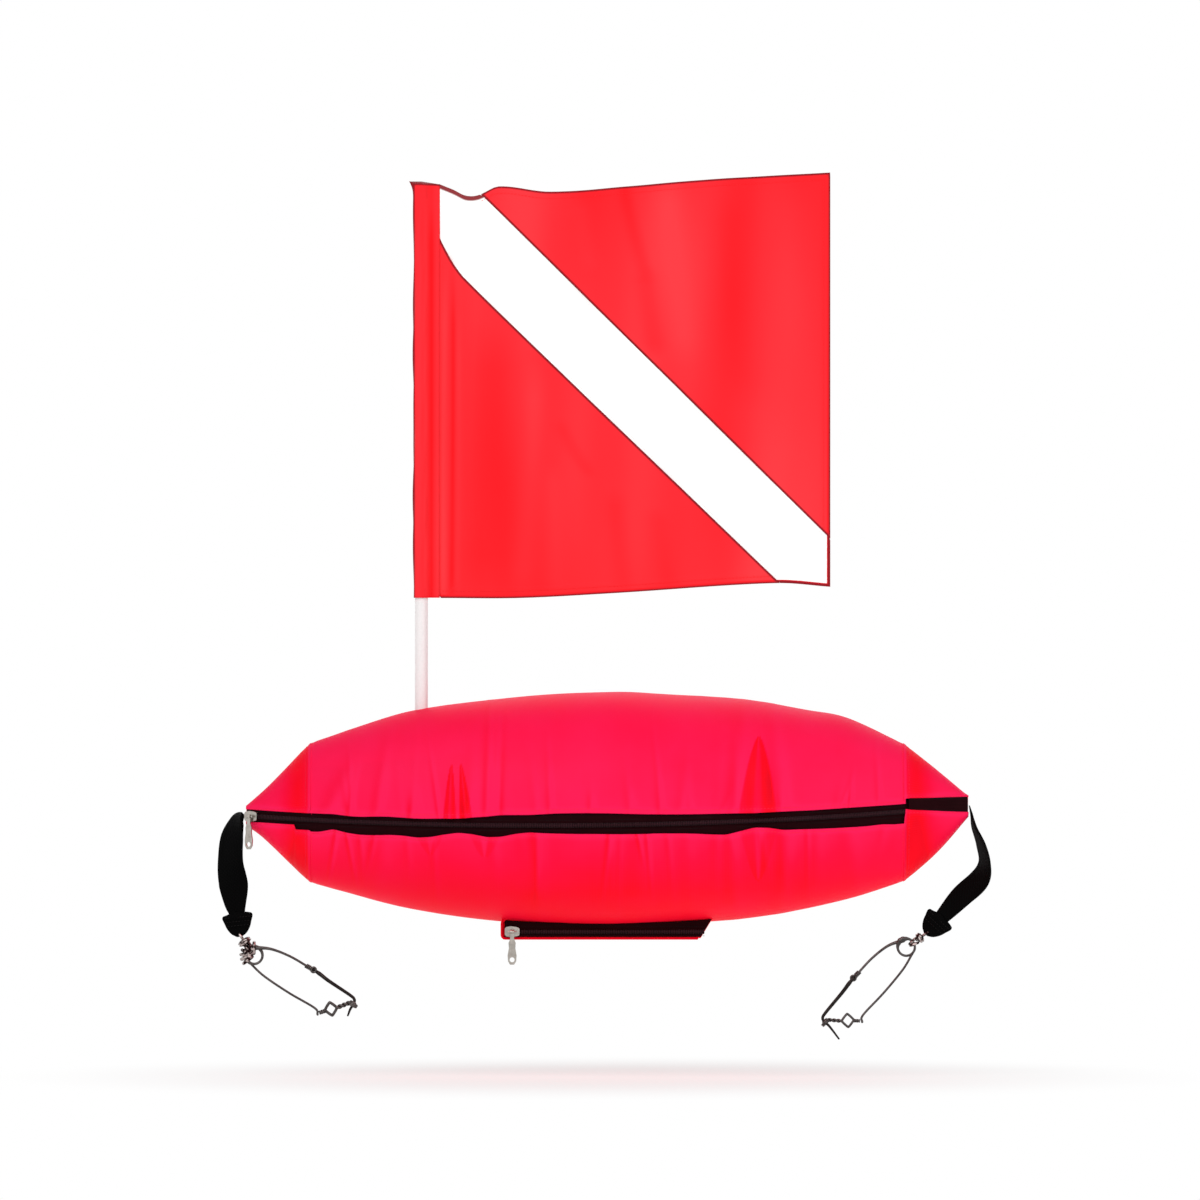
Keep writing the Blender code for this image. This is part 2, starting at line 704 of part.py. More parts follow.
def pull_mesh():
    """Cast pull hanging from a rolled eye, with a hole near its end; origin on the bar."""
    eye_radius = BAIL_RADIUS + GAP + PULL_EYE_WALL
    eye_half = PULL_NECK_WIDTH / 2
    eye = solid_turned(((eye_radius, -eye_half), (eye_radius, eye_half)), 12)
    eye.transform(Matrix.Rotation(math.pi / 2, 4, "Y"))
    half = PULL_WIDTH / 2
    tip = PULL_LENGTH
    upper_shares = ((0.0, 0.44), (0.22, 0.44), (0.34, 0.8), (0.5, 0.72), (0.72, 1.0), (0.9, 0.9), (1.0, 0.45))
    right = [(half * width, -tip * down) for down, width in upper_shares]
    outline = right + [(-x, z) for x, z in right[::-1]]
    plate = loft([[(x, y, z) for x, z in outline] for y in (-PULL_WALL / 2, PULL_WALL / 2)])
    hole_drop = tip - PULL_HOLE_RADIUS * 2
    hole = swept(((0, -OVERRUN, -hole_drop), (0, OVERRUN, -hole_drop)), PULL_HOLE_RADIUS, 14)
    plate = combine(plate, hole, "DIFFERENCE")
    pull = combine(plate, eye, "UNION")
    bore = swept(
        ((-eye_half - OVERRUN, 0, 0), (eye_half + OVERRUN, 0, 0)), BAIL_RADIUS + GAP, 12,
    )
    return combine(pull, bore, "DIFFERENCE")


def add_slider(prefix, place, outward, joint_place):
    """A slider and its pull, standing out from the zip at a place."""
    side = outward.cross(Vector((0, 0, 1)))
    turn = Matrix((-side, -outward, Vector((0, 0, 1)))).transposed().to_4x4()
    body = slider_mesh()
    body.transform(Matrix.Translation(place) @ turn)
    slider = add_part(prefix + "_slider", body, NICKEL)
    move_origin(slider, joint_place)
    pivot = Vector(place) + outward * BAIL_REACH
    pull = add_part(prefix + "_pull", pull_mesh(), NICKEL)
    pull.matrix_world = Matrix.Translation(pivot) @ turn
    return pivot, -side


slider_turn = turn_at(SLIDER_PLACE)
slider_out = outward_at(slider_turn)
main_pull_pivot, main_pull_axis = add_slider("main", zip_point(slider_turn), slider_out, ZIP_CENTRE)


# Bladder with its valve, inside the cover

BLADDER_STEPS = 14
DENT_GAP = GAP * 2


def bladder_solid(inset, shrink):
    """Closed solid of the bladder's outer or inner surface."""
    reach = turn_at(BLADDER_LENGTH / 2 - shrink)
    rings = []
    for step in range(BLADDER_STEPS + 1):
        turn = -reach + 2 * reach * step / BLADDER_STEPS
        around = [2 * share / AROUND_STEPS for share in range(AROUND_STEPS + 1)]
        over = [skin_point(turn, 1, share, inset, ZIP_HALF_WIDTH, False) for share in around]
        under = [skin_point(turn, -1, share, inset, ZIP_HALF_WIDTH, False) for share in around]
        rings.append(over + under[::-1])
    return loft(rings, "bladder")


def socket_dent(grow):
    """The room that the pole socket takes out of the bladder."""
    stem = pole_cutter(SOCKET_RADIUS + DENT_GAP + grow, SOCKET_BOTTOM - DENT_GAP - grow, SKIN_TOP)
    flange_bottom = SOCKET_TOP - SOCKET_FLANGE_WALL - DENT_GAP - grow
    mouth = pole_cutter(SOCKET_FLANGE_RADIUS + DENT_GAP + grow, flange_bottom, SKIN_TOP)
    return combine(stem, mouth, "UNION")


def valve_frame():
    """Matrix at the valve with local Z out of the bladder."""
    turn = turn_at(VALVE_PLACE)
    step = GAP / ZIP_RADIUS
    here = skin_point(turn, 1, VALVE_AROUND_SHARE, BLADDER_INSET, ZIP_HALF_WIDTH, False)
    along = skin_point(turn + step, 1, VALVE_AROUND_SHARE, BLADDER_INSET, ZIP_HALF_WIDTH, False) - here
    over = skin_point(turn, 1, VALVE_AROUND_SHARE + step, BLADDER_INSET, ZIP_HALF_WIDTH, False) - here
    normal = along.cross(over).normalized()
    if normal.y > 0:
        normal = -normal
    across = normal.orthogonal().normalized()
    turned_axes = Matrix((across, normal.cross(across), normal)).transposed().to_4x4()
    return Matrix.Translation(here) @ turned_axes


def bladder_mesh():
    outer = combine(bladder_solid(BLADDER_INSET, 0.0), socket_dent(0.0), "DIFFERENCE")
    inner = bladder_solid(BLADDER_INSET + BLADDER_WALL, BLADDER_WALL)
    inner = combine(inner, socket_dent(BLADDER_WALL), "DIFFERENCE")
    shell = combine(outer, inner, "DIFFERENCE")
    hole_reach = SKIN_SAG * 2 + BLADDER_WALL * 2
    hole = solid_turned(((VALVE_RADIUS + GAP, -hole_reach), (VALVE_RADIUS + GAP, hole_reach)), 16)
    hole.transform(valve_frame())
    return combine(shell, hole, "DIFFERENCE")


def valve_body_mesh():
    flange_low = -VALVE_FLANGE_DEPTH - VALVE_FLANGE_WALL
    profile = (
        (VALVE_BORE, 0), (VALVE_BORE, -VALVE_LENGTH), (VALVE_RADIUS, -VALVE_LENGTH),
        (VALVE_RADIUS, flange_low), (VALVE_FLANGE_RADIUS, flange_low),
        (VALVE_FLANGE_RADIUS, -VALVE_FLANGE_DEPTH), (VALVE_RADIUS, -VALVE_FLANGE_DEPTH), (VALVE_RADIUS, 0),
    )
    return turned(profile, 16, "valve_body")


add_part("bladder", bladder_mesh(), CLEAR_VINYL)
valve_body = add_part("valve_body", valve_body_mesh(), CLEAR_VINYL)
valve_body.matrix_world = valve_frame()
plug_radius = VALVE_BORE - GAP
plug_profile = (
    (plug_radius * PLUG_NOSE_SHARE, -VALVE_LENGTH * PLUG_LENGTH_SHARE),
    (plug_radius, -VALVE_LENGTH * PLUG_TAPER_SHARE), (plug_radius, 0),
)
valve_plug = add_part("valve_plug", solid_turned(plug_profile, 16, "valve_plug"), BLACK_RUBBER)
valve_plug.matrix_world = valve_frame()


# Pole socket, pole and end caps

def socket_mesh():
    """Cup that stands in the bladder's dent under the cover, with a flange at its mouth."""
    bore = POLE_RADIUS + GAP
    floor = SOCKET_BOTTOM + SOCKET_WALL
    cup = solid_turned(((SOCKET_RADIUS, SOCKET_BOTTOM), (SOCKET_RADIUS, SOCKET_TOP)), 24)
    flange = solid_turned(
        ((SOCKET_FLANGE_RADIUS, SOCKET_TOP - SOCKET_FLANGE_WALL), (SOCKET_FLANGE_RADIUS, SOCKET_TOP)), 24,
    )
    cup = combine(cup, flange, "UNION")
    hole = solid_turned(((bore, floor), (bore, SOCKET_TOP + OVERRUN)), 24)
    return combine(cup, hole, "DIFFERENCE")


def cap_mesh(direction):
    """Plug for the end of the pole; direction 1 points up into the tube."""
    shank = POLE_RADIUS - POLE_WALL - GAP
    lip = POLE_RADIUS
    profile = (
        (lip * CAP_LIP_SHARE, 0), (lip, CAP_WALL * CAP_EDGE_SHARE), (lip, CAP_WALL), (shank, CAP_WALL),
        (shank, CAP_WALL + CAP_SHANK * CAP_NOSE_SHARE), (shank * CAP_NOSE_SHARE, CAP_WALL + CAP_SHANK),
    )
    cap = solid_turned(profile, 20, "cap")
    if direction < 0:
        cap.transform(Matrix.Rotation(math.pi, 4, "X"))
    return cap


POLE_FOOT = SOCKET_BOTTOM + SOCKET_WALL + GAP
socket = add_part("pole_socket", socket_mesh(), WHITE_PLASTIC)
socket.location.x = POLE_PLACE
pole_low = CAP_WALL + GAP
pole_high = POLE_TOP - POLE_FOOT - CAP_WALL - GAP
pole_profile = (
    (POLE_RADIUS - POLE_WALL, pole_low), (POLE_RADIUS, pole_low),
    (POLE_RADIUS, pole_high), (POLE_RADIUS - POLE_WALL, pole_high),
)
pole = add_part("flag_pole", turned(pole_profile, 24, "pole"), WHITE_PLASTIC)
pole.location = (POLE_PLACE, 0, POLE_FOOT)
foot_cap = add_part("pole_foot_cap", cap_mesh(1), BLACK_RUBBER)
foot_cap.location = (POLE_PLACE, 0, POLE_FOOT)
top_cap = add_part("pole_top_cap", cap_mesh(-1), BLACK_RUBBER)
top_cap.location = (POLE_PLACE, 0, POLE_TOP)


# Flag; its pieces have their origin on the pole's axis

SLEEVE_BORE = POLE_RADIUS + GAP * 2
SLEEVE_TOP = POLE_TOP + GAP + FLAG_WALL
SEAM_REACH = SLEEVE_WIDTH - SLEEVE_BORE - FLAG_WALL


def sleeve_outline(radius, reach, half_seam):
    """Cloth round the pole, drawn together at the seam on the flag's side."""
    arc_steps = 10
    start = SLEEVE_OPENING
    points = []
    for step in range(arc_steps + 1):
        turn = start + (math.tau - 2 * start) * step / arc_steps
        points.append((radius * math.cos(turn), radius * math.sin(turn)))
    return points + [(reach, -half_seam), (reach, half_seam)]


def sleeve_mesh():
    outer = prism(
        sleeve_outline(SLEEVE_BORE + FLAG_WALL, SEAM_REACH, SLEEVE_SEAM_WALL / 2), FLAG_BOTTOM, SLEEVE_TOP,
    )
    inner_seam = SLEEVE_SEAM_WALL / 2 - FLAG_WALL
    inner = prism(
        sleeve_outline(SLEEVE_BORE, SEAM_REACH - SLEEVE_SEAM_WALL, inner_seam),
        FLAG_BOTTOM - OVERRUN, SLEEVE_TOP - FLAG_WALL,
    )
    return combine(outer, inner, "DIFFERENCE")


# Edges of the flag: (share of the width from the hoist seam, share of the height from the bottom)
TOP_EDGE_SHARES = (
    (0, 0.9986), (0.035, 0.985), (0.069, 0.970), (0.102, 0.972), (0.151, 0.993), (0.281, 0.980),
    (0.478, 0.993), (0.739, 1.013), (1, 1.026),
)
BOTTOM_EDGE_SHARES = ((0, 0), (0.205, 0), (0.45, 0.012), (0.862, 0.036), (1, 0.027))
STRIPE_TOP_SHARE = 0.107
STRIPE_HOIST_SHARE = 0.871
STRIPE_BEND_SHARES = ((0.036, 0.803), (0.0815, 0.7525))
STRIPE_FOOT_SHARE = 0.860
STRIPE_FLY_SHARE = 0.138
EDGE_STEPS = 16
ACROSS_STEPS = 8
STRIPE_STEPS = 3
CORNER_STEPS = 2
HEM_LEFT = SEAM_REACH + GAP * 2


def flag_point(share, up_share):
    """A point of the flag's outline in the plane, from the pole's axis."""
    return Vector((HEM_LEFT + FLAG_WIDTH * share, 0, FLAG_BOTTOM + FLAG_HEIGHT * up_share))


def edge_point(table, share):
    return flag_point(share, table_value(table, share))


def spaced(start, end, spans):
    return [start + (end - start) * step / spans for step in range(spans + 1)]


def flag_edges():
    """The stripe's two long edges and the outer edges of both red panels."""
    top_start = edge_point(TOP_EDGE_SHARES, STRIPE_TOP_SHARE)
    fly_end = flag_point(1, STRIPE_FLY_SHARE)
    upper_slant = spaced(top_start, fly_end, EDGE_STEPS)
    hoist_start = flag_point(0, STRIPE_HOIST_SHARE)
    bends = [flag_point(*pair) for pair in STRIPE_BEND_SHARES]
    foot_end = edge_point(BOTTOM_EDGE_SHARES, STRIPE_FOOT_SHARE)
    lower_slant = [hoist_start, bends[0]] + spaced(bends[1], foot_end, EDGE_STEPS - len(bends))
    upper_hem = [edge_point(TOP_EDGE_SHARES, s) for s in spaced(STRIPE_TOP_SHARE, 1, EDGE_STEPS // 2)]
    fly_top = upper_hem[-1]
    upper_hem += spaced(fly_top, fly_end, EDGE_STEPS // 2)[1:]
    hoist_foot = flag_point(0, 0)
    lower_hem = spaced(hoist_start, hoist_foot, EDGE_STEPS // 2)
    foot_shares = spaced(0, STRIPE_FOOT_SHARE, EDGE_STEPS // 2)[1:]
    lower_hem += [edge_point(BOTTOM_EDGE_SHARES, s) for s in foot_shares]
    return upper_slant, lower_slant, upper_hem, lower_hem


def ripple(point):
    """The hang of the cloth: soft waves that die out at the hoist."""
    out = point.x - HEM_LEFT
    grown = min(1.0, max(0.0, out / FLAG_RIPPLE_LENGTH))
    lean = (point.z - FLAG_BOTTOM) / FLAG_HEIGHT
    wave = math.sin(math.tau * out / FLAG_RIPPLE_LENGTH + lean)
    return FLAG_RIPPLE * grown * wave


def cloth_mesh(first_edge, second_edge, spans):
    """A rippled piece of cloth between two edges with the same number of points."""
    front, back = [], []
    for near, far in zip(first_edge, second_edge):
        row = [near.lerp(far, step / spans) for step in range(spans + 1)]
        for point in row:
            point.y = ripple(point)
        front.append([point + Vector((0, -FLAG_WALL / 2, 0)) for point in row])
        back.append([point + Vector((0, FLAG_WALL / 2, 0)) for point in row])
    return slab(front, back, "cloth")


def flag_meshes():
    upper_slant, lower_slant, upper_hem, lower_hem = flag_edges()
    apart = Vector((GAP, 0, GAP)) / math.sqrt(2)
    upper_edge = [point + apart for point in upper_slant]
    upper_outer = [upper_edge[0]] + upper_hem[1:-1] + [upper_edge[-1]]
    lower_edge = [point - apart for point in lower_slant]
    lower_outer = [lower_edge[0]] + lower_hem[1:-1] + [lower_edge[-1]]
    hoist_top = edge_point(TOP_EDGE_SHARES, 0)
    fly_foot = edge_point(BOTTOM_EDGE_SHARES, 1)
    top_shares = spaced(0, STRIPE_TOP_SHARE, CORNER_STEPS)
    stripe_upper = [edge_point(TOP_EDGE_SHARES, s) for s in top_shares]
    stripe_upper += upper_slant[1:] + spaced(upper_slant[-1], fly_foot, CORNER_STEPS)[1:]
    foot_shares = spaced(STRIPE_FOOT_SHARE, 1, CORNER_STEPS)
    stripe_lower = spaced(hoist_top, lower_slant[0], CORNER_STEPS)
    stripe_lower += lower_slant[1:] + [edge_point(BOTTOM_EDGE_SHARES, s) for s in foot_shares][1:]
    return (
        cloth_mesh(upper_edge, upper_outer, ACROSS_STEPS),
        cloth_mesh(stripe_upper, stripe_lower, STRIPE_STEPS),
        cloth_mesh(lower_edge, lower_outer, ACROSS_STEPS),
    )


upper_cloth, stripe_cloth, lower_cloth = flag_meshes()
flag_parts = (
    ("flag_sleeve", sleeve_mesh(), FLAG_RED),
    ("flag_upper_panel", upper_cloth, FLAG_RED),
    ("flag_stripe", stripe_cloth, FLAG_WHITE),
    ("flag_lower_panel", lower_cloth, FLAG_RED),
)
for part_name, part_mesh, part_finish in flag_parts:
    flag_part = add_part(part_name, part_mesh, part_finish)
    flag_part.location.x = POLE_PLACE


# Keel pocket: a tray sewn to the belly, closed at the front by its zip

POCKET_TOP = POCKET_BOTTOM + POCKET_RISE
POCKET_FRONT = -POCKET_DEPTH / 2


def belly_cutter():
    """The float's outer skin over the pocket, grown by the clearance."""
    reach = turn_at(POCKET_LENGTH * POCKET_REACH_SHARE)
    rings = []
    for turn in spaced(-reach, reach, BODY_STEPS):
        around = [2 * share / (AROUND_STEPS * 2) for share in range(AROUND_STEPS * 2 + 1)]
        over = [skin_point(turn, 1, share, -GAP, ZIP_HALF_WIDTH, False) for share in around]
        under = [skin_point(turn, -1, share, -GAP, ZIP_HALF_WIDTH, False) for share in around]
        rings.append(over + under[::-1])
    return loft(rings, "belly")


def pocket_prism(inset, low, high, front, back):
    """The pocket's long block: its right end leans in towards the bottom."""
    left = POCKET_CENTRE - POCKET_LENGTH / 2 + inset
    right = POCKET_CENTRE + POCKET_LENGTH / 2 - inset
    lean = POCKET_LEAN / POCKET_RISE
    rings = []
    for z in (low, high):
        end = right + (z - POCKET_BOTTOM) * lean
        rings.append([(left, front, z), (end, front, z), (end, back, z), (left, back, z)])
    return loft(rings, "pocket")


def pocket_tray_mesh():
    half = POCKET_DEPTH / 2
    tray = pocket_prism(0.0, POCKET_BOTTOM, POCKET_TOP, -half, half)
    tray = combine(tray, belly_cutter(), "DIFFERENCE")
    inner = POCKET_WALL
    room = pocket_prism(
        POCKET_END_WALL, POCKET_BOTTOM + inner, POCKET_TOP + OVERRUN, -half + inner, half - inner,
    )
    tray = combine(tray, room, "DIFFERENCE")
    mouth = pocket_prism(
        POCKET_END_WALL, POCKET_BOTTOM + POCKET_LIP, POCKET_TOP + OVERRUN, -half - OVERRUN, 0.0,
    )
    return combine(tray, mouth, "DIFFERENCE")


def pocket_tape_mesh(low, high):
    tape = pocket_prism(
        POCKET_END_WALL + GAP, low, high, POCKET_FRONT, POCKET_FRONT + TAPE_WALL,
    )
    return combine(tape, belly_cutter(), "DIFFERENCE")


POCKET_ZIP_LEFT = POCKET_CENTRE - POCKET_LENGTH / 2 + POCKET_END_WALL + GAP
POCKET_ZIP_RIGHT = POCKET_CENTRE + POCKET_LENGTH / 2 - POCKET_END_WALL
pocket_out = Vector((0, -1, 0))
add_part("pocket_tray", pocket_tray_mesh(), RED_NYLON)
pocket_low_tape = pocket_tape_mesh(POCKET_BOTTOM + POCKET_LIP + GAP, POCKET_ZIP_HEIGHT - GAP / 2)
add_part("pocket_zip_tape_lower", pocket_low_tape, BLACK_TAPE)
add_part("pocket_zip_tape_upper", pocket_tape_mesh(POCKET_ZIP_HEIGHT + GAP / 2, POCKET_TOP), BLACK_TAPE)
coil_line = [
    Vector((place, POCKET_FRONT - GAP, POCKET_ZIP_HEIGHT)) for place in (POCKET_ZIP_LEFT, POCKET_ZIP_RIGHT)
]
pocket_coil = coil_strip(coil_line, [pocket_out] * 2, CHAIN_WIDTH, CHAIN_HEIGHT)
add_part("pocket_zip_coil", pocket_coil, BLACK_NYLON)
pocket_slider_place = Vector((POCKET_ZIP_LEFT + SLIDER_LENGTH / 2, POCKET_FRONT, POCKET_ZIP_HEIGHT))
pocket_pull_pivot, pocket_pull_axis = add_slider(
    "pocket", pocket_slider_place, pocket_out, pocket_slider_place,
)
ballast_centre = (POCKET_CENTRE, 0, POCKET_BOTTOM + POCKET_WALL + GAP + BALLAST_HEIGHT / 2)
ballast_size = (BALLAST_LENGTH, BALLAST_DEPTH, BALLAST_HEIGHT)
ballast_mesh = block(ballast_size, ballast_centre, "ballast", BALLAST_CORNER)
add_part("ballast_weight", ballast_mesh, GREY_LEAD)


# Straps: (across, down) route as shares of the drop, then width share and twist in turns
LEFT_ROUTE_SHARES = (
    (0.000, 0.000, 0.80, 0.0), (-0.062, 0.060, 0.88, 0.078), (-0.123, 0.215, 1.00, 0.14),
    (-0.138, 0.460, 1.00, 0.17), (-0.109, 0.672, 1.00, 0.24), (-0.092, 0.847, 0.76, 0.25),
    (-0.075, 0.944, 0.55, 0.25),
)
RIGHT_ROUTE_SHARES = (
    (0.000, 0.000, 0.60, 0.0), (0.024, 0.100, 0.70, 0.004), (0.048, 0.218, 0.80, 0.025),
    (0.112, 0.382, 0.95, 0.045), (0.146, 0.557, 1.00, 0.06), (0.090, 0.722, 0.95, 0.13),
    (-0.085, 0.885, 0.80, 0.18), (-0.266, 1.080, 0.52, 0.23),
)
LOBE_SHARES = ((0, 0.30), (0.10, 0.46), (0.26, 0.5), (0.6, 0.40), (0.86, 0.22), (1.0, 0.07))
LEFT_LOBE_ANGLE = math.radians(-84)
RIGHT_LOBE_ANGLE = math.radians(-133)
LEFT_SWIVEL_ANGLE = math.radians(-56)
RIGHT_SWIVEL_ANGLE = math.radians(-145)
LEFT_CLIP_ANGLE = math.radians(-32)
RIGHT_CLIP_ANGLE = math.radians(-131.4)
WIDEST_SHARE = 1.0
BEND_STEPS = 3
ARM_STEPS = 4


def strap_mesh(root, shares):
    """Flat webbing that leaves the tip edge on and turns its face to the front on its way down."""
    knots = [Vector((root.x + STRAP_DROP * s[0], 0, root.z - STRAP_DROP * s[1])) for s in shares]
    path = smooth_path(knots, BEND_STEPS)
    extras = smooth_path([Vector((s[2], s[3], 0)) for s in shares], BEND_STEPS)
    rings = []
    for i, point in enumerate(path):
        before = path[max(i - 1, 0)]
        after = path[min(i + 1, len(path) - 1)]
        tangent = (after - before).normalized()
        normal = Vector((tangent.z, 0, -tangent.x))
        twist = extras[i].y * math.tau
        wide = Vector((0, 1, 0)) * math.cos(twist) + normal * math.sin(twist)
        thick = tangent.cross(wide) * (WEBBING_WALL / 2)
        wide = wide * (WEBBING_WIDTH / 2 * min(extras[i].x, WIDEST_SHARE))
        rings.append([point + wide + thick, point - wide + thick, point - wide - thick, point + wide - thick])
    return loft(rings, "strap"), path[-1]


def direction_frame(place, angle):
    """Local X points along a direction in the XZ plane, local Y stays world Y."""
    return Matrix.Translation(place) @ Matrix.Rotation(-angle, 4, "Y")


def lobe_mesh():
    """Folded and stitched end of the strap, with the hole for the swivel's eye."""
    right = [(LOBE_LENGTH * down, LOBE_WIDTH * wide) for down, wide in LOBE_SHARES]
    outline = right + [(x, -z) for x, z in right[::-1]]
    half = LOBE_WALL / 2
    levels = ((-half, 0.86), (-half + LOBE_ROUND, 1.0), (half - LOBE_ROUND, 1.0), (half, 0.86))
    rings = []
    for level, scale in levels:
        middle = LOBE_LENGTH / 2
        rings.append([(middle + (x - middle) * scale, level, z * scale) for x, z in outline])
    lobe = loft(rings, "lobe")
    hole_place = LOBE_LENGTH - LOBE_HOLE_EDGE
    hole = swept(((hole_place, -OVERRUN, 0), (hole_place, OVERRUN, 0)), LOBE_HOLE_RADIUS, 12)
    return combine(lobe, hole, "DIFFERENCE")


# Swivel, in a frame with local X from the strap's hole to the clip

SWIVEL_BARREL_START = SWIVEL_STRAP_EYE * 2
SWIVEL_BARREL_END = SWIVEL_BARREL_START + BARREL_LENGTH
CLIP_EYE_CENTRE = SWIVEL_BARREL_END + GAP + SWIVEL_WIRE_RADIUS + SWIVEL_CLIP_EYE
COIL_CENTRE = CLIP_EYE_CENTRE + CLIP_COIL_RADIUS


def swivel_mesh():
    """Barrel with a shoulder at each end, fused with the eye that holds the strap."""
    profile = (
        (BARREL_RADIUS * BARREL_NECK_SHARE, SWIVEL_BARREL_START),
        (BARREL_RADIUS, SWIVEL_BARREL_START + BARREL_SHOULDER),
        (BARREL_RADIUS, SWIVEL_BARREL_END - BARREL_SHOULDER),
        (BARREL_RADIUS * BARREL_MOUTH_SHARE, SWIVEL_BARREL_END),
    )
    barrel = solid_turned(profile, 14, "barrel")
    bore = SWIVEL_WIRE_RADIUS + GAP
    bore_start = SWIVEL_BARREL_END - BARREL_BORE_DEPTH
    hole = solid_turned(((bore, bore_start), (bore, SWIVEL_BARREL_END + OVERRUN)), 10)
    barrel = combine(barrel, hole, "DIFFERENCE")
    barrel.transform(Matrix.Rotation(math.pi / 2, 4, "Y"))
    eye = ring_mesh(SWIVEL_STRAP_EYE, SWIVEL_WIRE_RADIUS, 16, 8, "Z")
    eye.transform(Matrix.Translation((SWIVEL_STRAP_EYE, 0, 0)))
    return combine(barrel, eye, "UNION")


def swivel_eye_mesh():
    """The turning eye, with its stem in the barrel's bore."""
    eye = ring_mesh(SWIVEL_CLIP_EYE, SWIVEL_WIRE_RADIUS, 16, 8, "Z")
    eye.transform(Matrix.Translation((CLIP_EYE_CENTRE, 0, 0)))
    stem_start = SWIVEL_BARREL_END - BARREL_BORE_DEPTH + GAP
    stem = swept(((stem_start, 0, 0), (CLIP_EYE_CENTRE - SWIVEL_CLIP_EYE, 0, 0)), SWIVEL_WIRE_RADIUS, 8)
    return combine(eye, stem, "UNION")


# Clip, in a frame with its coil's centre at the origin, local X to the far bend and Z to the gate

OUTER_ARM_SHARES = ((0.465, 0.59), (0.28, 0.57), (0.10, 0.45))
INNER_ARM_SHARES = ((0.02, -0.28), (0.18, -0.38), (0.45, -0.41), (0.72, -0.385), (0.775, -0.51))
PIVOT_SHARE = (0.528, 0.60)
GATE_SHARES = (
    (0.60, 0.59), (0.70, 0.56), (0.93, 0.535), (0.985, 0.49), (1.0, 0.36), (1.0, 0.17), (1.028, -0.31),
)
LINK_EYE_SHARE = (1.0, 0.345)
LINK_DIAMOND_SHARE = (0.85, -0.14)
LINK_TIP_SHARE = (0.784, -0.415)
COIL_START = math.radians(118)
COIL_END = math.radians(608)


def clip_place(pair, level=0.0):
    return Vector((CLIP_LENGTH * pair[0], level, CLIP_WIDTH * pair[1]))


def clip_frame_mesh():
    """One bent wire: gate eye, outer arm, spring coil, inner arm and its turned-out end."""
    turns = (COIL_END - COIL_START) / math.tau
    low = -CLIP_COIL_PITCH * turns / 2
    coil = []
    coil_steps = 26
    for step in range(coil_steps + 1):
        angle = COIL_START + (COIL_END - COIL_START) * step / coil_steps
        level = low + CLIP_COIL_PITCH * turns * step / coil_steps
        coil.append(Vector((CLIP_COIL_RADIUS * math.cos(angle), level, CLIP_COIL_RADIUS * math.sin(angle))))
    pivot = clip_place(PIVOT_SHARE)
    first = clip_place(OUTER_ARM_SHARES[0])
    start = pivot + (first - pivot).normalized() * GATE_EYE_RADIUS
    outer = [start, first, clip_place(OUTER_ARM_SHARES[1], low / 2), clip_place(OUTER_ARM_SHARES[2], low)]
    outer_path = smooth_path(outer + [coil[0]], ARM_STEPS)[:-1]
    inner = [coil[-1], clip_place(INNER_ARM_SHARES[0], -low), clip_place(INNER_ARM_SHARES[1], -low / 2)]
    inner += [clip_place(pair) for pair in INNER_ARM_SHARES[2:]]
    inner_path = smooth_path(inner, BEND_STEPS)[1:]
    wire = swept(outer_path + coil + inner_path, CLIP_WIRE_RADIUS, 6, "clip_wire")
    eye = ring_mesh(GATE_EYE_RADIUS, CLIP_WIRE_RADIUS, 12, 6, "Y")
    eye.transform(Matrix.Translation(pivot))
    return combine(wire, eye, "UNION")


def gate_mesh():
    """Sprung arm with its cross pin through the frame's eye, the far bend and the thumb tail."""
    pivot = clip_place(PIVOT_SHARE)
    beside = CLIP_WIRE_RADIUS + GATE_WIRE_RADIUS + GAP
    knots = [pivot + Vector((0, beside, 0)), clip_place(GATE_SHARES[0], beside)]
    knots += [clip_place(pair) for pair in GATE_SHARES[1:]]
    arm = swept(smooth_path(knots, BEND_STEPS), GATE_WIRE_RADIUS, 8, "gate")
    pin_end = pivot + Vector((0, -CLIP_WIRE_RADIUS - GAP, 0))
    pin = swept((pin_end, pivot + Vector((0, beside, 0))), GATE_PIN_RADIUS, 8)
    gate = combine(arm, pin, "UNION")
    gate.transform(Matrix.Translation(-pivot))
    return gate


def link_mesh():
    """Twisted link from the gate's bend to the end of the inner arm, with its diamond loop."""
    eye_place = clip_place(LINK_EYE_SHARE)
    diamond_place = clip_place(LINK_DIAMOND_SHARE)
    tip = clip_place(LINK_TIP_SHARE)
    eye = ring_mesh(LINK_EYE_RADIUS, LINK_WIRE_RADIUS, 12, 6, "Z")
    eye.transform(Matrix.Translation(eye_place))
    towards = (diamond_place - eye_place).normalized()
    stem_start = eye_place + Vector((-LINK_EYE_RADIUS, 0, 0))
    loop = ring_mesh(LINK_DIAMOND_RADIUS, LINK_WIRE_RADIUS, 12, 6, "Y")
    loop.transform(Matrix.Translation(diamond_place))
    near = diamond_place - towards * LINK_DIAMOND_RADIUS
    far = diamond_place + (tip - diamond_place).normalized() * LINK_DIAMOND_RADIUS
    link = combine(eye, swept((stem_start, near), LINK_WIRE_RADIUS, 6), "UNION")
    link = combine(link, loop, "UNION")
    link = combine(link, swept((far, tip), LINK_WIRE_RADIUS, 6), "UNION")
    link.transform(Matrix.Translation(-eye_place))
    return link


def anchor_mesh(end):
    """Webbing sewn into the tip; its outer end closes the tip and carries the strap."""
    tip = zip_point(end * TIP_TURN)
    half_depth = TIP_HALF_DEPTH - ANCHOR_SHRINK
    half_height = ZIP_NOSE_HALF_WIDTH - GAP
    centre = (tip.x - end * ANCHOR_LENGTH / 2, 0, tip.z)
    return block((ANCHOR_LENGTH, half_depth * 2, half_height * 2), centre, "anchor")


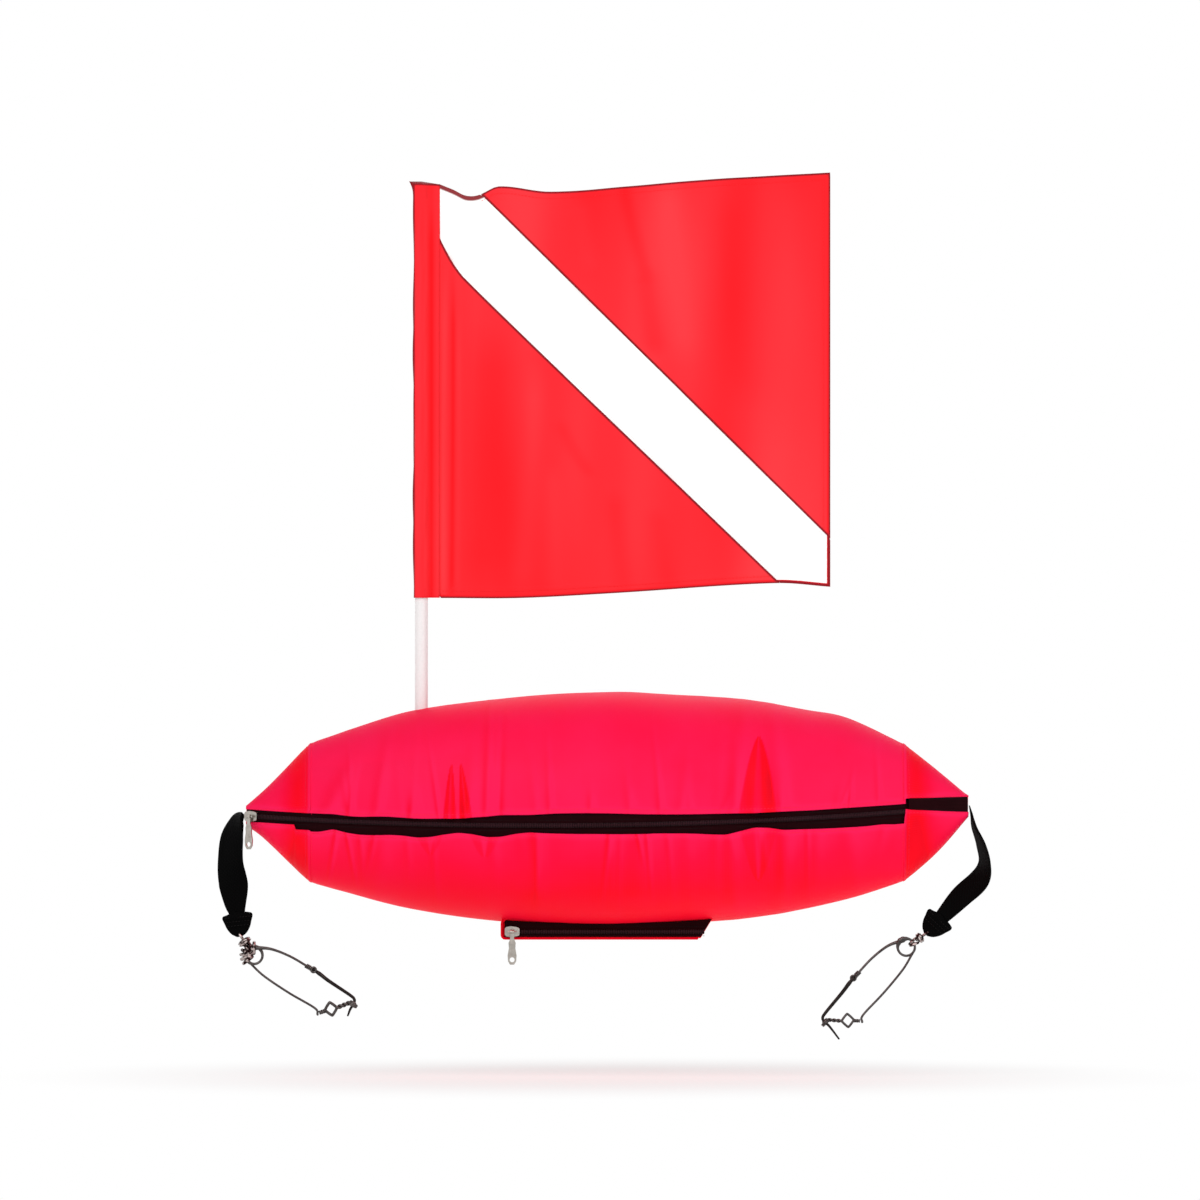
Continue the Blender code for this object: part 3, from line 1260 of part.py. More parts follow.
def add_tip(name, end, route_shares, lobe_angle, swivel_angle, clip_angle):
    """Everything that hangs from one tip; returns the joints' places."""
    add_part("strap_anchor_" + name, anchor_mesh(end), BLACK_WEBBING)
    tip = zip_point(end * TIP_TURN)
    root = Vector((tip.x + end * (GAP + WEBBING_WALL / 2), 0, tip.z))
    strap, neck = strap_mesh(root, route_shares)
    move_origin(add_part("strap_" + name, strap, BLACK_WEBBING), root)
    lobe_dir = Vector((math.cos(lobe_angle), 0, math.sin(lobe_angle)))
    lobe_place = neck + lobe_dir * GAP * 3
    lobe = add_part("strap_fold_" + name, lobe_mesh(), BLACK_WEBBING)
    lobe.matrix_world = direction_frame(lobe_place, lobe_angle)
    hole = lobe_place + lobe_dir * (LOBE_LENGTH - LOBE_HOLE_EDGE)
    swivel_frame = add_empty("swivel_frame_" + name, direction_frame(hole, swivel_angle))
    add_part("swivel_" + name, swivel_mesh(), STEEL_WIRE, swivel_frame)
    add_part("swivel_eye_" + name, swivel_eye_mesh(), STEEL_WIRE, swivel_frame)
    swivel_dir = Vector((math.cos(swivel_angle), 0, math.sin(swivel_angle)))
    coil = hole + swivel_dir * COIL_CENTRE
    clip_matrix = direction_frame(coil, clip_angle)
    if end > 0:
        clip_matrix = clip_matrix @ Matrix.Rotation(math.pi, 4, "X")
    clip_frame = add_empty("clip_axes_" + name, clip_matrix)
    add_part("clip_frame_" + name, clip_frame_mesh(), STEEL_WIRE, clip_frame)
    gate = add_part("clip_gate_" + name, gate_mesh(), STEEL_WIRE, clip_frame)
    gate.location = clip_place(PIVOT_SHARE)
    link = add_part("clip_link_" + name, link_mesh(), STEEL_WIRE, clip_frame)
    link.location = clip_place(LINK_EYE_SHARE)
    gate_pivot = clip_matrix @ clip_place(PIVOT_SHARE)
    link_pivot = clip_matrix @ clip_place(LINK_EYE_SHARE)
    return root, hole, swivel_dir, coil, gate_pivot, link_pivot


left_places = add_tip("left", -1, LEFT_ROUTE_SHARES, LEFT_LOBE_ANGLE, LEFT_SWIVEL_ANGLE, LEFT_CLIP_ANGLE)
right_places = add_tip("right", 1, RIGHT_ROUTE_SHARES, RIGHT_LOBE_ANGLE, RIGHT_SWIVEL_ANGLE, RIGHT_CLIP_ANGLE)

print("joint places, in metres")
print("zip arc", [round(v, 5) for v in ZIP_CENTRE], "axis", [round(v, 5) for v in ZIP_AXIS])
print("main pull", [round(v, 5) for v in main_pull_pivot], [round(v, 5) for v in main_pull_axis])
print("pocket pull", [round(v, 5) for v in pocket_pull_pivot], [round(v, 5) for v in pocket_pull_axis])
for side_name, places in (("left", left_places), ("right", right_places)):
    for label, place in zip(("root", "hole", "direction", "coil", "gate", "link"), places):
        print(side_name, label, [round(v, 5) for v in place])
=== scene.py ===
"""Dive flag float: the looks of the zipped nylon float, its flag, straps, swivels and wire clips."""

import math

import bmesh
import bpy
import numpy as np
from mathutils import Matrix, Vector


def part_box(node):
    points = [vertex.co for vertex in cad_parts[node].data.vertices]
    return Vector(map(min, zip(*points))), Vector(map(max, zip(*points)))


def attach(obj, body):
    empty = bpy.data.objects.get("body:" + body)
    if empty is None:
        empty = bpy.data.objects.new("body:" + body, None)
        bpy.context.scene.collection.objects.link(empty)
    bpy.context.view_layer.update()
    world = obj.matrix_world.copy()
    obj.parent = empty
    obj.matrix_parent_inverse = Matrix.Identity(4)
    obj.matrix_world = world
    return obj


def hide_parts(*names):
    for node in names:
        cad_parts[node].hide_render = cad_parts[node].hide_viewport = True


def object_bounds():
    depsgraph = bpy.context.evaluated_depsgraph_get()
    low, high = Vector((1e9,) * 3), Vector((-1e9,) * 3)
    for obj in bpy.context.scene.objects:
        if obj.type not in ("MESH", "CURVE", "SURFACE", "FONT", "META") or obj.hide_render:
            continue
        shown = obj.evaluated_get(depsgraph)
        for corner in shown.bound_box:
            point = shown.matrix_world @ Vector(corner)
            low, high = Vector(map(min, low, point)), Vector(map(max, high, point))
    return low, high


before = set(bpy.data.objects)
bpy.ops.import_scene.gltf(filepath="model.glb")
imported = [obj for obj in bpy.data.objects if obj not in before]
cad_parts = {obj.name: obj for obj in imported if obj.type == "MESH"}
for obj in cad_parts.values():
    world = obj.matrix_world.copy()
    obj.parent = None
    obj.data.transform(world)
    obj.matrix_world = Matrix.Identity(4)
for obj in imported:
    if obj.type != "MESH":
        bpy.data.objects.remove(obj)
cad_box = [list(corner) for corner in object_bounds()]
scene = bpy.context.scene
MM = 0.001


def linear(code):
    """The linear colour of an sRGB hex code."""
    parts = [int(code[i:i + 2], 16) / 255 for i in (0, 2, 4)]
    return [*(c / 12.92 if c <= 0.04045 else ((c + 0.055) / 1.055) ** 2.4 for c in parts), 1.0]


def node(tree, kind, inputs=None, out=0, **settings):
    """Adds a node and gives one of its outputs. Inputs take numbers, colour codes and other outputs."""
    made = tree.nodes.new(kind if "Node" in kind else "ShaderNode" + kind)
    for name, value in settings.items():
        setattr(made, name, value)
    for key, value in (inputs or {}).items():
        if isinstance(value, bpy.types.NodeSocket):
            tree.links.new(value, made.inputs[key])
        else:
            made.inputs[key].default_value = linear(value) if isinstance(value, str) else value
    return made.outputs[out] if made.outputs else None


def math_node(tree, operation, *values, **settings):
    """A Math node's output."""
    return node(tree, "Math", dict(enumerate(values)), operation=operation, **settings)


def ranged(tree, value, low, high, start=0.0, end=1.0, **settings):
    """A value moved from the span start to end into the span low to high."""
    spans = {"From Min": start, "From Max": end, "To Min": low, "To Max": high}
    return node(tree, "MapRange", {"Value": value, **spans}, **settings)


def mixed(tree, share, low, high):
    """A colour between two others."""
    return node(tree, "Mix", {0: share, 6: low, 7: high}, out=2, data_type="RGBA")


def ramp(tree, share, stops):
    """A colour ramp; its first and last stops come first."""
    made = tree.nodes.new("ShaderNodeValToRGB")
    tree.links.new(share, made.inputs["Fac"])
    for i, (place, code) in enumerate(stops):
        stop = made.color_ramp.elements[i] if i < 2 else made.color_ramp.elements.new(place)
        stop.position = place
        stop.color = linear(code)
    return made.outputs["Color"]


def object_noise(tree, scale, detail, roughness=0.5):
    """Cloudy noise in the piece's own metres."""
    place = node(tree, "TexCoord", out="Object")
    values = {"Vector": place, "Scale": scale, "Detail": detail, "Roughness": roughness}
    return node(tree, "TexNoise", values, out="Fac")


def bump_node(tree, height, strength, distance, **more):
    """A Bump node's output."""
    return node(tree, "Bump", {"Height": height, "Strength": strength, "Distance": distance, **more})


def surface(tree, values):
    """The material's output, as one principled surface."""
    node(tree, "OutputMaterial", {"Surface": node(tree, "BsdfPrincipled", values)})


def new_material(name):
    """An empty node material and its tree."""
    made = bpy.data.materials.new(name)
    made.use_nodes = True
    made.node_tree.nodes.clear()
    return made, made.node_tree


def add_object(name, data):
    """An object of some data, in the scene."""
    made = bpy.data.objects.new(name, data)
    scene.collection.objects.link(made)
    return made


def settle(piece, body, node_name=None, finish=None):
    """Gives a piece its finish, the CAD node it stands for and its body."""
    if finish:
        piece.data.materials.append(finish)
    if node_name:
        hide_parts(node_name)
    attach(piece, body)
    return piece


# Studio: a pale floor as far below the clips as they can swing, a white surround and three large soft lamps.
# The camera looks straight at the zip side from far off, as the product photograph does.
VIEW_CENTRE = Vector((-6.2, 0, 176.6)) * MM
VIEW_WIDTH = 1023.6 * MM
VIEW_DEPTH = 100
LENS = 400.0
SENSOR = 36.0
CLIP_SWING = 32 * MM
FLOOR_HEIGHT = cad_box[0][2] - CLIP_SWING
FLOOR_REACH = 30
FLOOR_LIFT = 0.55
FLOOR_FADE = (0.25, 0.6)
FLOOR_BOUNCE = 0.9
FLOOR_GLOW = 1.32
SURROUND_LIGHT = 0.42
LAMP_SIZE = 1.6
LAMP_AIM = Vector((0, 0, 0.1))
LAMPS = (("key_lamp", (-0.9, -1.9, 1.7), 29), ("fill_lamp", (1.6, -1.5, 0.7), 12),
         ("back_lamp", (0.3, 1.9, 1.6), 10))

scene.view_settings.view_transform = "Standard"
camera_data = bpy.data.cameras.new("camera")
camera_data.lens = LENS
camera_data.sensor_width = SENSOR
camera_data.clip_end = VIEW_DEPTH
camera = add_object("camera", camera_data)
camera.location = VIEW_CENTRE - Vector((0, VIEW_WIDTH * LENS / SENSOR, 0))
camera.rotation_euler = (math.radians(90), 0, 0)
scene.camera = camera

world = bpy.data.worlds.new("surround")
world.use_nodes = True
scene.world = world
tree = world.node_tree
tree.nodes.clear()
rays = tree.nodes.new("ShaderNodeLightPath").outputs
seen = math_node(tree, "MAXIMUM", rays["Is Camera Ray"], rays["Is Glossy Ray"])
seen = math_node(tree, "MAXIMUM", seen, rays["Is Transmission Ray"])
glow = node(tree, "Background", {"Color": "FFFFFF", "Strength": ranged(tree, seen, SURROUND_LIGHT, 1.0)})
node(tree, "OutputWorld", {"Surface": glow})

for name, place, power in LAMPS:
    lamp_data = bpy.data.lights.new(name, "AREA")
    lamp_data.size = LAMP_SIZE
    lamp_data.energy = power
    lamp = add_object(name, lamp_data)
    lamp.location = place
    lamp.rotation_euler = (LAMP_AIM - Vector(place)).to_track_quat("-Z", "Y").to_euler()

# Floor paint: matt near the float, where its shadow falls, and as white as the surround farther out.
floor_paint, tree = new_material("floor_paint")
away = node(tree, "VectorMath", {0: node(tree, "TexCoord", out="Object")}, out="Value", operation="LENGTH")
fade = ranged(tree, away, FLOOR_LIFT, 1.0, *FLOOR_FADE, interpolation_type="SMOOTHSTEP")
rays = tree.nodes.new("ShaderNodeLightPath").outputs
seen = math_node(tree, "MAXIMUM", rays["Is Camera Ray"], rays["Is Glossy Ray"])
bounce = math_node(tree, "MULTIPLY", rays["Is Diffuse Ray"], FLOOR_BOUNCE)
share = math_node(tree, "MAXIMUM", math_node(tree, "MULTIPLY", seen, fade), bounce)
matt = node(tree, "BsdfDiffuse", {"Color": "FAFAFA"})
lit = ranged(tree, rays["Is Diffuse Ray"], 1.0, FLOOR_GLOW)
white = node(tree, "Emission", {"Color": "FFFFFF", "Strength": lit})
node(tree, "OutputMaterial", {"Surface": node(tree, "MixShader", {0: share, 1: matt, 2: white})})
floor_mesh = bpy.data.meshes.new("floor")
floor_mesh.from_pydata([(x * FLOOR_REACH, y * FLOOR_REACH, FLOOR_HEIGHT)
                        for x, y in ((-1, -1), (1, -1), (1, 1), (-1, 1))], [], [(0, 1, 2, 3)])
floor_mesh.materials.append(floor_paint)
add_object("floor", floor_mesh)


# Cover: two halves of plain-woven coated nylon, drawn tight by the bladder, with reinforced tips; the upper
# half is painted pinkish as a painted sheen and the lower half purer red as painted shade. The cloth gathers
# over the zip in small pleats and wrinkles, which carry painted shade and painted highlights.
HALF_LENGTH = 616 * MM / 2
FLOAT_HALF_DEPTH = 98 * MM
TIP_HALF_DEPTH = 8 * MM
CROWN_HEIGHT = 111.7 * MM
KEEL_DEPTH = 87 * MM
NOSE_LENGTH = 54 * MM
SEAM_PLACE = HALF_LENGTH - NOSE_LENGTH
ZIP_HEIGHT = -2.0 * MM
ZIP_FRONT_DROP = 11.8 * MM
ZIP_END_RISE = 4.3 * MM
HEM_BODY = 9.3 * MM
HEM_NOSE = 6.8 * MM
HEM_ROLL = 0.8 * MM
HEM_WAVE_REACH = 16 * MM
SEAM_RIDGE = 0.55 * MM
BACK_TUCK = 0.8 * MM
BILLOW = 0.9
STEADY_REACH = 30 * MM
CORNER_REACH = 20 * MM
CLOTH_WALL = 0.7 * MM
THREAD_SPACING = 1.3 * MM
WAVE_SCALE = 0.3142

ZIP_BULGE = FLOAT_HALF_DEPTH - TIP_HALF_DEPTH
ZIP_RADIUS = (HALF_LENGTH ** 2 + ZIP_BULGE ** 2) / (2 * ZIP_BULGE)
ZIP_PLANE = (Matrix.Rotation(-math.atan2(ZIP_END_RISE, HALF_LENGTH), 3, "Y")
             @ Matrix.Rotation(math.atan2(ZIP_FRONT_DROP, FLOAT_HALF_DEPTH), 3, "X"))
ZIP_FRONT = Vector((0, -FLOAT_HALF_DEPTH, ZIP_HEIGHT - ZIP_FRONT_DROP))
ZIP_CENTRE = ZIP_FRONT + ZIP_PLANE @ Vector((0, ZIP_RADIUS, 0))

# (share of the half length, share of the height) for the left nose, the body and the right nose
UPPER_SHARES = (
    ((-1, 0.075), (-0.93, 0.255), (-0.825, 0.579)),
    ((-0.825, 0.579), (-0.68, 0.735), (-0.535, 0.858), (-0.27, 0.967), (0, 0.996),
     (0.09, 0.994), (0.373, 0.920), (0.56, 0.820), (0.66, 0.752), (0.825, 0.500)),
    ((0.825, 0.500), (0.933, 0.241), (1, 0.072)),
)
LOWER_SHARES = (
    ((-1, 0.095), (-0.948, 0.215), (-0.825, 0.620)),
    ((-0.825, 0.620), (-0.68, 0.746), (-0.555, 0.840), (-0.297, 0.964), (0, 1.0),
     (0.26, 0.990), (0.49, 0.934), (0.66, 0.84), (0.825, 0.680)),
    ((0.825, 0.680), (0.92, 0.41), (1, 0.11)),
)
CORNER_STEPS = (-7, -4, -1.5, 1.5, 4, 7)


def smooth_value(table, places):
    """Smooth values at places from a table of (place, value) pairs."""
    x, y = np.array(table, float).T
    last = len(x) - 1
    before, after = np.maximum(np.arange(last + 1) - 1, 0), np.minimum(np.arange(last + 1) + 1, last)
    slope = (y[after] - y[before]) / (x[after] - x[before])
    places = np.asarray(places, float)
    i = np.clip(np.searchsorted(x, places) - 1, 0, last - 1)
    span = x[i + 1] - x[i]
    t = (places - x[i]) / span
    value = (2 * t ** 3 - 3 * t ** 2 + 1) * y[i] + (t ** 3 - 2 * t ** 2 + t) * span * slope[i]
    return value + (3 * t ** 2 - 2 * t ** 3) * y[i + 1] + (t ** 3 - t ** 2) * span * slope[i + 1]


def knotted_height(side, x):
    """Height of the cover above (side 1) or below (side -1) the zip, with a sharp corner at each seam."""
    share = np.clip(x / HALF_LENGTH, -1, 1)
    seam = SEAM_PLACE / HALF_LENGTH
    left, body, right = (smooth_value(table, share) for table in (UPPER_SHARES if side > 0 else LOWER_SHARES))
    return (CROWN_HEIGHT if side > 0 else KEEL_DEPTH) * np.where(share < -seam, left,
                                                                 np.where(share > seam, right, body))


def outline_height(side, x):
    """Height of the cover, with the corners at the seams rounded off."""
    reach = np.clip((HALF_LENGTH - np.abs(x)) / CORNER_REACH, 0, 1) * MM
    return sum(knotted_height(side, x + step * reach) for step in CORNER_STEPS) / len(CORNER_STEPS)


def zip_turn(x):
    """How far round the zip's arc places along X lie."""
    return np.arcsin(np.clip(np.asarray(x, float) / ZIP_RADIUS, -1, 1))


def zip_line(x):
    """Points of the zip's arc at places along X."""
    turn = zip_turn(x)
    flat = np.stack([ZIP_RADIUS * np.sin(turn), -ZIP_RADIUS * np.cos(turn), 0 * turn], axis=-1)
    return flat @ np.array(ZIP_PLANE).T + np.array(ZIP_CENTRE)


def zip_outward(x):
    """Level directions out of the zip's arc."""
    turn = zip_turn(x)
    out = np.stack([np.sin(turn), -np.cos(turn), 0 * turn], axis=-1) @ np.array(ZIP_PLANE).T
    out[..., 2] = 0
    return out / np.linalg.norm(out, axis=-1, keepdims=True)


# Pleats and wrinkles: side, place, half width, height, depth and how far the tip leans, in millimetres
PLEATS = (
    (1, -133.7, 6.0, 42, 3.0, 1.5), (1, -119.6, 6.0, 42, 3.0, -4.5), (1, 127, 17.5, 62, 5.2, 1.5),
    (-1, 128, 17, 42, 3.4, 0), (-1, -150, 12, 16, 1.8, 0), (-1, -104, 14, 18, 1.8, 0),
)
WRINKLE_SPANS = ((-235, 240), (1.8, 6.0), (18, 75), (0.25, 0.95), (-9, 9))
wrinkle_draw = np.random.default_rng(11)
WRINKLES = [(side, *(wrinkle_draw.uniform(*span) for span in WRINKLE_SPANS)) for side in [1] * 30 + [-1] * 26]
WRINKLES += [
    (1, -102, 3.5, 88, 1.3, 2), (1, -92, 3.0, 80, -1.0, 3), (1, -48, 3.0, 62, 0.8, -3),
    (1, -238, 8, 50, 1.8, 26), (1, 106, 7, 88, 1.6, 10), (1, 150, 7, 84, 1.6, -10),
    (-1, 103, 7, 70, 1.4, 6), (-1, 153, 7, 70, 1.4, -6), (1, -196, 5, 66, 1.1, 10),
    (1, -168, 4, 54, -0.8, 6), (1, 20, 4, 40, 0.8, -5), (1, 62, 5, 52, 0.8, 6),
    (-1, -190, 9, 56, 1.2, -8), (-1, -60, 8, 60, 1.0, 5), (-1, 30, 9, 62, 1.0, -4), (-1, 205, 9, 54, 1.2, 6),
]
BEHIND_SHIFT = 37 * MM
BEHIND_SHARE = 0.7


def pleat_share(side, x, rise):
    """1 on the ridge of a pleat, 0 at its sides, and how far the pleats stand out."""
    best = np.zeros_like(x)
    depth = np.zeros_like(x)
    for its_side, place, half_width, height, out, lean in PLEATS:
        if its_side != side:
            continue
        up = np.clip(rise / (height * MM), 0, 1)
        width = half_width * MM * (1 - 0.72 * up) * np.sqrt(1.0001 - up ** 6)
        ridge = 1 - np.abs(x - (place + lean * up) * MM) / width
        held = np.clip(ridge, 0, 1) * (rise < height * MM)
        depth = np.maximum(depth, out * MM * held * (1 - up) ** 0.7)
        best = np.maximum(best, held)
    return best, depth


def wrinkle_depth(side, x, rise, round_share):
    """Small upright wrinkles that start at the zip and run out, on the front, and softer ones behind."""
    depth = np.zeros_like(x)
    for its_side, place, half_width, height, out, lean in WRINKLES:
        if its_side != side:
            continue
        up = np.clip(rise / (height * MM), 0, 1.6)
        for shift, share, shown in ((0, 1, round_share <= 1), (BEHIND_SHIFT, BEHIND_SHARE, round_share > 1)):
            across = (x + shift - (place + lean * up) * MM) / (half_width * MM)
            depth += out * MM * np.exp(-across ** 2) * np.exp(-(2.0 * up) ** 2 / 2) * shown * share
    return depth


def nose_hem(side, x):
    """Half the open width on the tips: notched at the left seam, drawn up round the patch on the right."""
    out = np.clip((np.abs(x) - SEAM_PLACE) / NOSE_LENGTH, 0, 1)
    if side > 0:
        return HEM_NOSE + np.where(x > 0, 4.2 - 3.2 * out, -1.2) * MM
    return HEM_NOSE + np.where(x > 0, 7.3 * out - 8.8, np.where(out < 0.22, 2.0, -2.0)) * MM


# Run of the hems where the cloth is eased on to the tapes: place along the zip, rise, both in millimetres
UPPER_HEM = (
    (-257, -3.5), (-245, -3.5), (-233, -3.3), (-221, -4.4), (-209, -4.7), (-197, -3.9), (-185, -3.7),
    (-173, -4.2), (-161, -4.6), (-149, -4.4), (-138, -4.0), (-126, -3.9), (-114, -2.7), (-102, -1.8),
    (-90, -0.4), (-66, -0.2), (-42, 1.1), (-18, 1.2), (6, 0.6), (30, -0.5), (54, -1.2), (77, -1.7),
    (101, -2.0), (125, -2.5), (149, -2.4), (173, -2.7), (197, -2.5), (221, -2.5), (245, -2.7),
)
LOWER_HEM = (
    (-257, -0.6), (-245, -0.6), (-233, 2.4), (-221, -0.3), (-209, -1.5), (-197, -1.3), (-185, -0.6),
    (-173, -0.9), (-161, -2.3), (-149, -1.4), (-138, 0.9), (-126, 2.7), (-114, 1.5), (-102, -0.8),
    (-90, -0.4), (-78, 2.2), (-66, 3.5), (-54, 2.8), (-42, 2.4), (-30, 2.1), (-18, 1.9), (-6, 1.8),
    (6, 1.4), (18, 1.3), (30, 1.2), (42, 1.4), (54, 1.1), (65, 0.8), (77, 0.1), (89, -0.9), (101, -1.5),
    (113, 1.1), (125, 3.7), (137, 2.8), (149, 0.4), (161, 0.2), (173, -0.1), (185, -0.5), (197, -0.6),
    (209, -0.7), (221, -0.8), (233, -0.1), (245, -1.0),
)
HEM_STEPS = 600
HEM_BLUR = np.hanning(15)[1:-1] / np.hanning(15).sum()


def hem_wave(side, x):
    """The wavy run of a hem along the zip."""
    places, rises = np.array(UPPER_HEM if side > 0 else LOWER_HEM).T
    fine = np.linspace(places[0], places[-1], HEM_STEPS)
    run = np.pad(np.interp(fine, places, rises), len(HEM_BLUR) // 2, mode="edge")
    return np.interp(x / MM, fine, np.convolve(run, HEM_BLUR, mode="valid")) * MM


BILLOW_SHORT, BILLOW_LONG = 31 * MM, 77 * MM
HEM_ROLL_REACH = 2.2 * MM
SEAM_RIDGE_REACH = 2.6 * MM
SEAM_FADE = 0.2 * MM


def skin_points(side, x, around, hem, lift=0.0, plain=False, wavy=True):
    """Points of the cover's outer face. around runs from 0 at the zip, over the top or keel, to 2 behind."""
    x, around = np.broadcast_arrays(x, around)
    front = zip_line(x)
    closing = np.clip(around - 1, 0, 1)
    hem = hem * (1 - closing ** 2 * (3 - 2 * closing))
    angle = around * math.pi / 2
    rise = (outline_height(side, x) - hem) * np.sin(angle)
    out = -front[..., 1] * np.cos(angle)
    points = np.stack([x, -out, front[..., 2] + side * (hem + rise)], axis=-1)
    normal = np.stack([0 * x, -np.cos(angle), side * np.sin(angle)], axis=-1)
    push = np.full(x.shape, float(lift))
    if not plain:
        steady = np.clip((HALF_LENGTH - np.abs(x)) / STEADY_REACH, 0, 1)
        _, pleat = pleat_share(side, x, np.where(around < 1, rise, 1))
        push = push + (pleat + wrinkle_depth(side, x, rise, around)) * steady
        wide = BILLOW * np.sin(x / BILLOW_SHORT + 2 * around) * np.sin(around * 2.1 + x / BILLOW_LONG)
        push = push + wide * MM * steady * np.clip(np.sin(angle), 0, 1)
        push = push + HEM_ROLL * (np.exp(-(rise / HEM_ROLL_REACH) ** 2) * (around < 1))
        push = push + SEAM_RIDGE * np.exp(-((np.abs(x) - SEAM_PLACE) / SEAM_RIDGE_REACH) ** 2)
        push = push - BACK_TUCK * np.exp(-((2 - around) / 0.02) ** 2)
        held = (around < 1) * (np.abs(x) < SEAM_PLACE)
        wave = hem_wave(side, x) * np.exp(-(rise / HEM_WAVE_REACH) ** 2) * held
        points[..., 2] += wavy * wave * np.clip((SEAM_PLACE - np.abs(x)) / SEAM_FADE, 0, 1)
    return points + normal * push[..., None], rise


def grid_object(name, points, inside, attributes=None, loop=False, thickness=None, uv=None):
    """Object from rows of points, faced away from the point inside, with a UV map in metres."""
    rows, columns = points.shape[:2]
    index = np.arange(rows * columns).reshape(rows, columns)
    steps_v = np.linalg.norm(np.diff(points, axis=0), axis=-1).mean(axis=1)
    steps_u = np.linalg.norm(np.diff(points, axis=1), axis=-1).mean(axis=0)
    v = np.concatenate([[0], np.cumsum(steps_v)])[:, None] * np.ones((1, columns))
    u = np.concatenate([[0], np.cumsum(steps_u)])[None, :] * np.ones((rows, 1))
    if uv is not None:
        u, v = uv
    if loop:
        index = np.hstack([index, index[:, :1]])
    quads = np.stack([index[:-1, :-1], index[:-1, 1:], index[1:, 1:], index[1:, :-1]], axis=-1).reshape(-1, 4)
    flat_points = points.reshape(-1, 3)
    mesh = bpy.data.meshes.new(name)
    mesh.from_pydata(flat_points.tolist(), [], quads.tolist())
    layer = mesh.uv_layers.new(name="cloth")
    corner = np.array([item.vertex_index for item in mesh.loops])
    flat = np.stack([u.reshape(-1)[corner], v.reshape(-1)[corner]], axis=-1)
    layer.data.foreach_set("uv", flat.astype(np.float32).reshape(-1))
    for key, values in (attributes or {}).items():
        made = mesh.attributes.new(key, "FLOAT", "POINT")
        made.data.foreach_set("value", np.asarray(values, np.float32).reshape(-1))
    centres = flat_points[quads[:, 0]]
    normals = np.cross(flat_points[quads[:, 1]] - centres, flat_points[quads[:, 3]] - centres)
    if (normals * (centres - np.array(inside))).sum() < 0:
        mesh.flip_normals()
    mesh.shade_smooth()
    made = add_object(name, mesh)
    if thickness:
        wall = made.modifiers.new("wall", "SOLIDIFY")
        wall.thickness = thickness
        wall.offset = -1
    return made


def ribs(tree, place, direction, distortion):
    """Soft stripes across a direction of a cloth map."""
    values = {"Vector": place, "Scale": WAVE_SCALE, "Distortion": distortion, "Detail": 1.0}
    return node(tree, "TexWave", values, out="Fac", bands_direction=direction)


def cloth_weave(tree, spacing, directions, distortions):
    """Height of a weave on the cloth's own UV map."""
    cloth_map = node(tree, "UVMap", uv_map="cloth")
    place = node(tree, "Mapping", {"Vector": cloth_map, "Scale": (1 / spacing,) * 3})
    return math_node(tree, "MULTIPLY", *(ribs(tree, place, *pair) for pair in zip(directions, distortions)))


def woven_bump(tree, spacing, strength, distance):
    """Height of a plain weave, and the bump it gives."""
    weave = cloth_weave(tree, spacing, "XY", (0.25, 0.25))
    return weave, bump_node(tree, weave, strength, distance)


# Coated 420-denier nylon: a soft silky sheen over a saturated dye; a painted-shading attribute moves its red
# from a painted-sheen pink to a painted-shade deep red, and the thread tops are painted paler as a painted
# highlight.
# Its threads are 0.4 mm apart; they are drawn 1.3 mm apart so that they show.
cover_nylon, tree = new_material("coated_nylon_oxford")
weave, bump = woven_bump(tree, THREAD_SPACING, 0.16, 0.25 * MM)
# The painted-shading attribute carries painted sheen, painted shade and painted highlights; the noise below
# adds a slight random tone.
painted_shading = node(tree, "Attribute", out="Fac", attribute_name="painted_shading")
varied = ranged(tree, object_noise(tree, 16.0, 3.0), -0.07, 0.07, 0.3, 0.7)
amount = math_node(tree, "ADD", painted_shading, varied, use_clamp=True)
# Ramp: a painted-sheen pink at 0, purer reds between, and a painted-shade deep red at 1.
dye_and_painted_shade = ramp(tree, amount, ((0, "FC1A55"), (1, "D0001C"), (0.35, "FC063A"), (0.7, "FC0018")))
# Thread tops painted paler and pinker: a painted highlight on the weave.
painted_lit_thread_tops = mixed(tree, math_node(tree, "MULTIPLY", weave, 0.16), dye_and_painted_shade, "FF2C58")
surface(tree, {"Roughness": 0.5, "Specular IOR Level": 0.04, "Sheen Weight": 0.02, "Sheen Roughness": 0.4,
               "Sheen Tint": "FF8098", "IOR": 1.53, "Base Color": painted_lit_thread_tops, "Normal": bump})


# Painted light and shade: the rises over which the painted sheen and shade change, the step for the wrinkles'
# painted shading, and where the painted hem highlight and the tips' painted shade lie.
UPPER_SHADE_RISE, LOWER_SHADE_RISE = 95 * MM, 48 * MM
SLOPE_STEP = 0.7 * MM
HEM_HIGHLIGHT_PLACE, HEM_HIGHLIGHT_REACH = 2 * MM, 2.4 * MM
NOSE_SHADE_PLACE, NOSE_SHADE_REACH = 9 * MM, 12 * MM


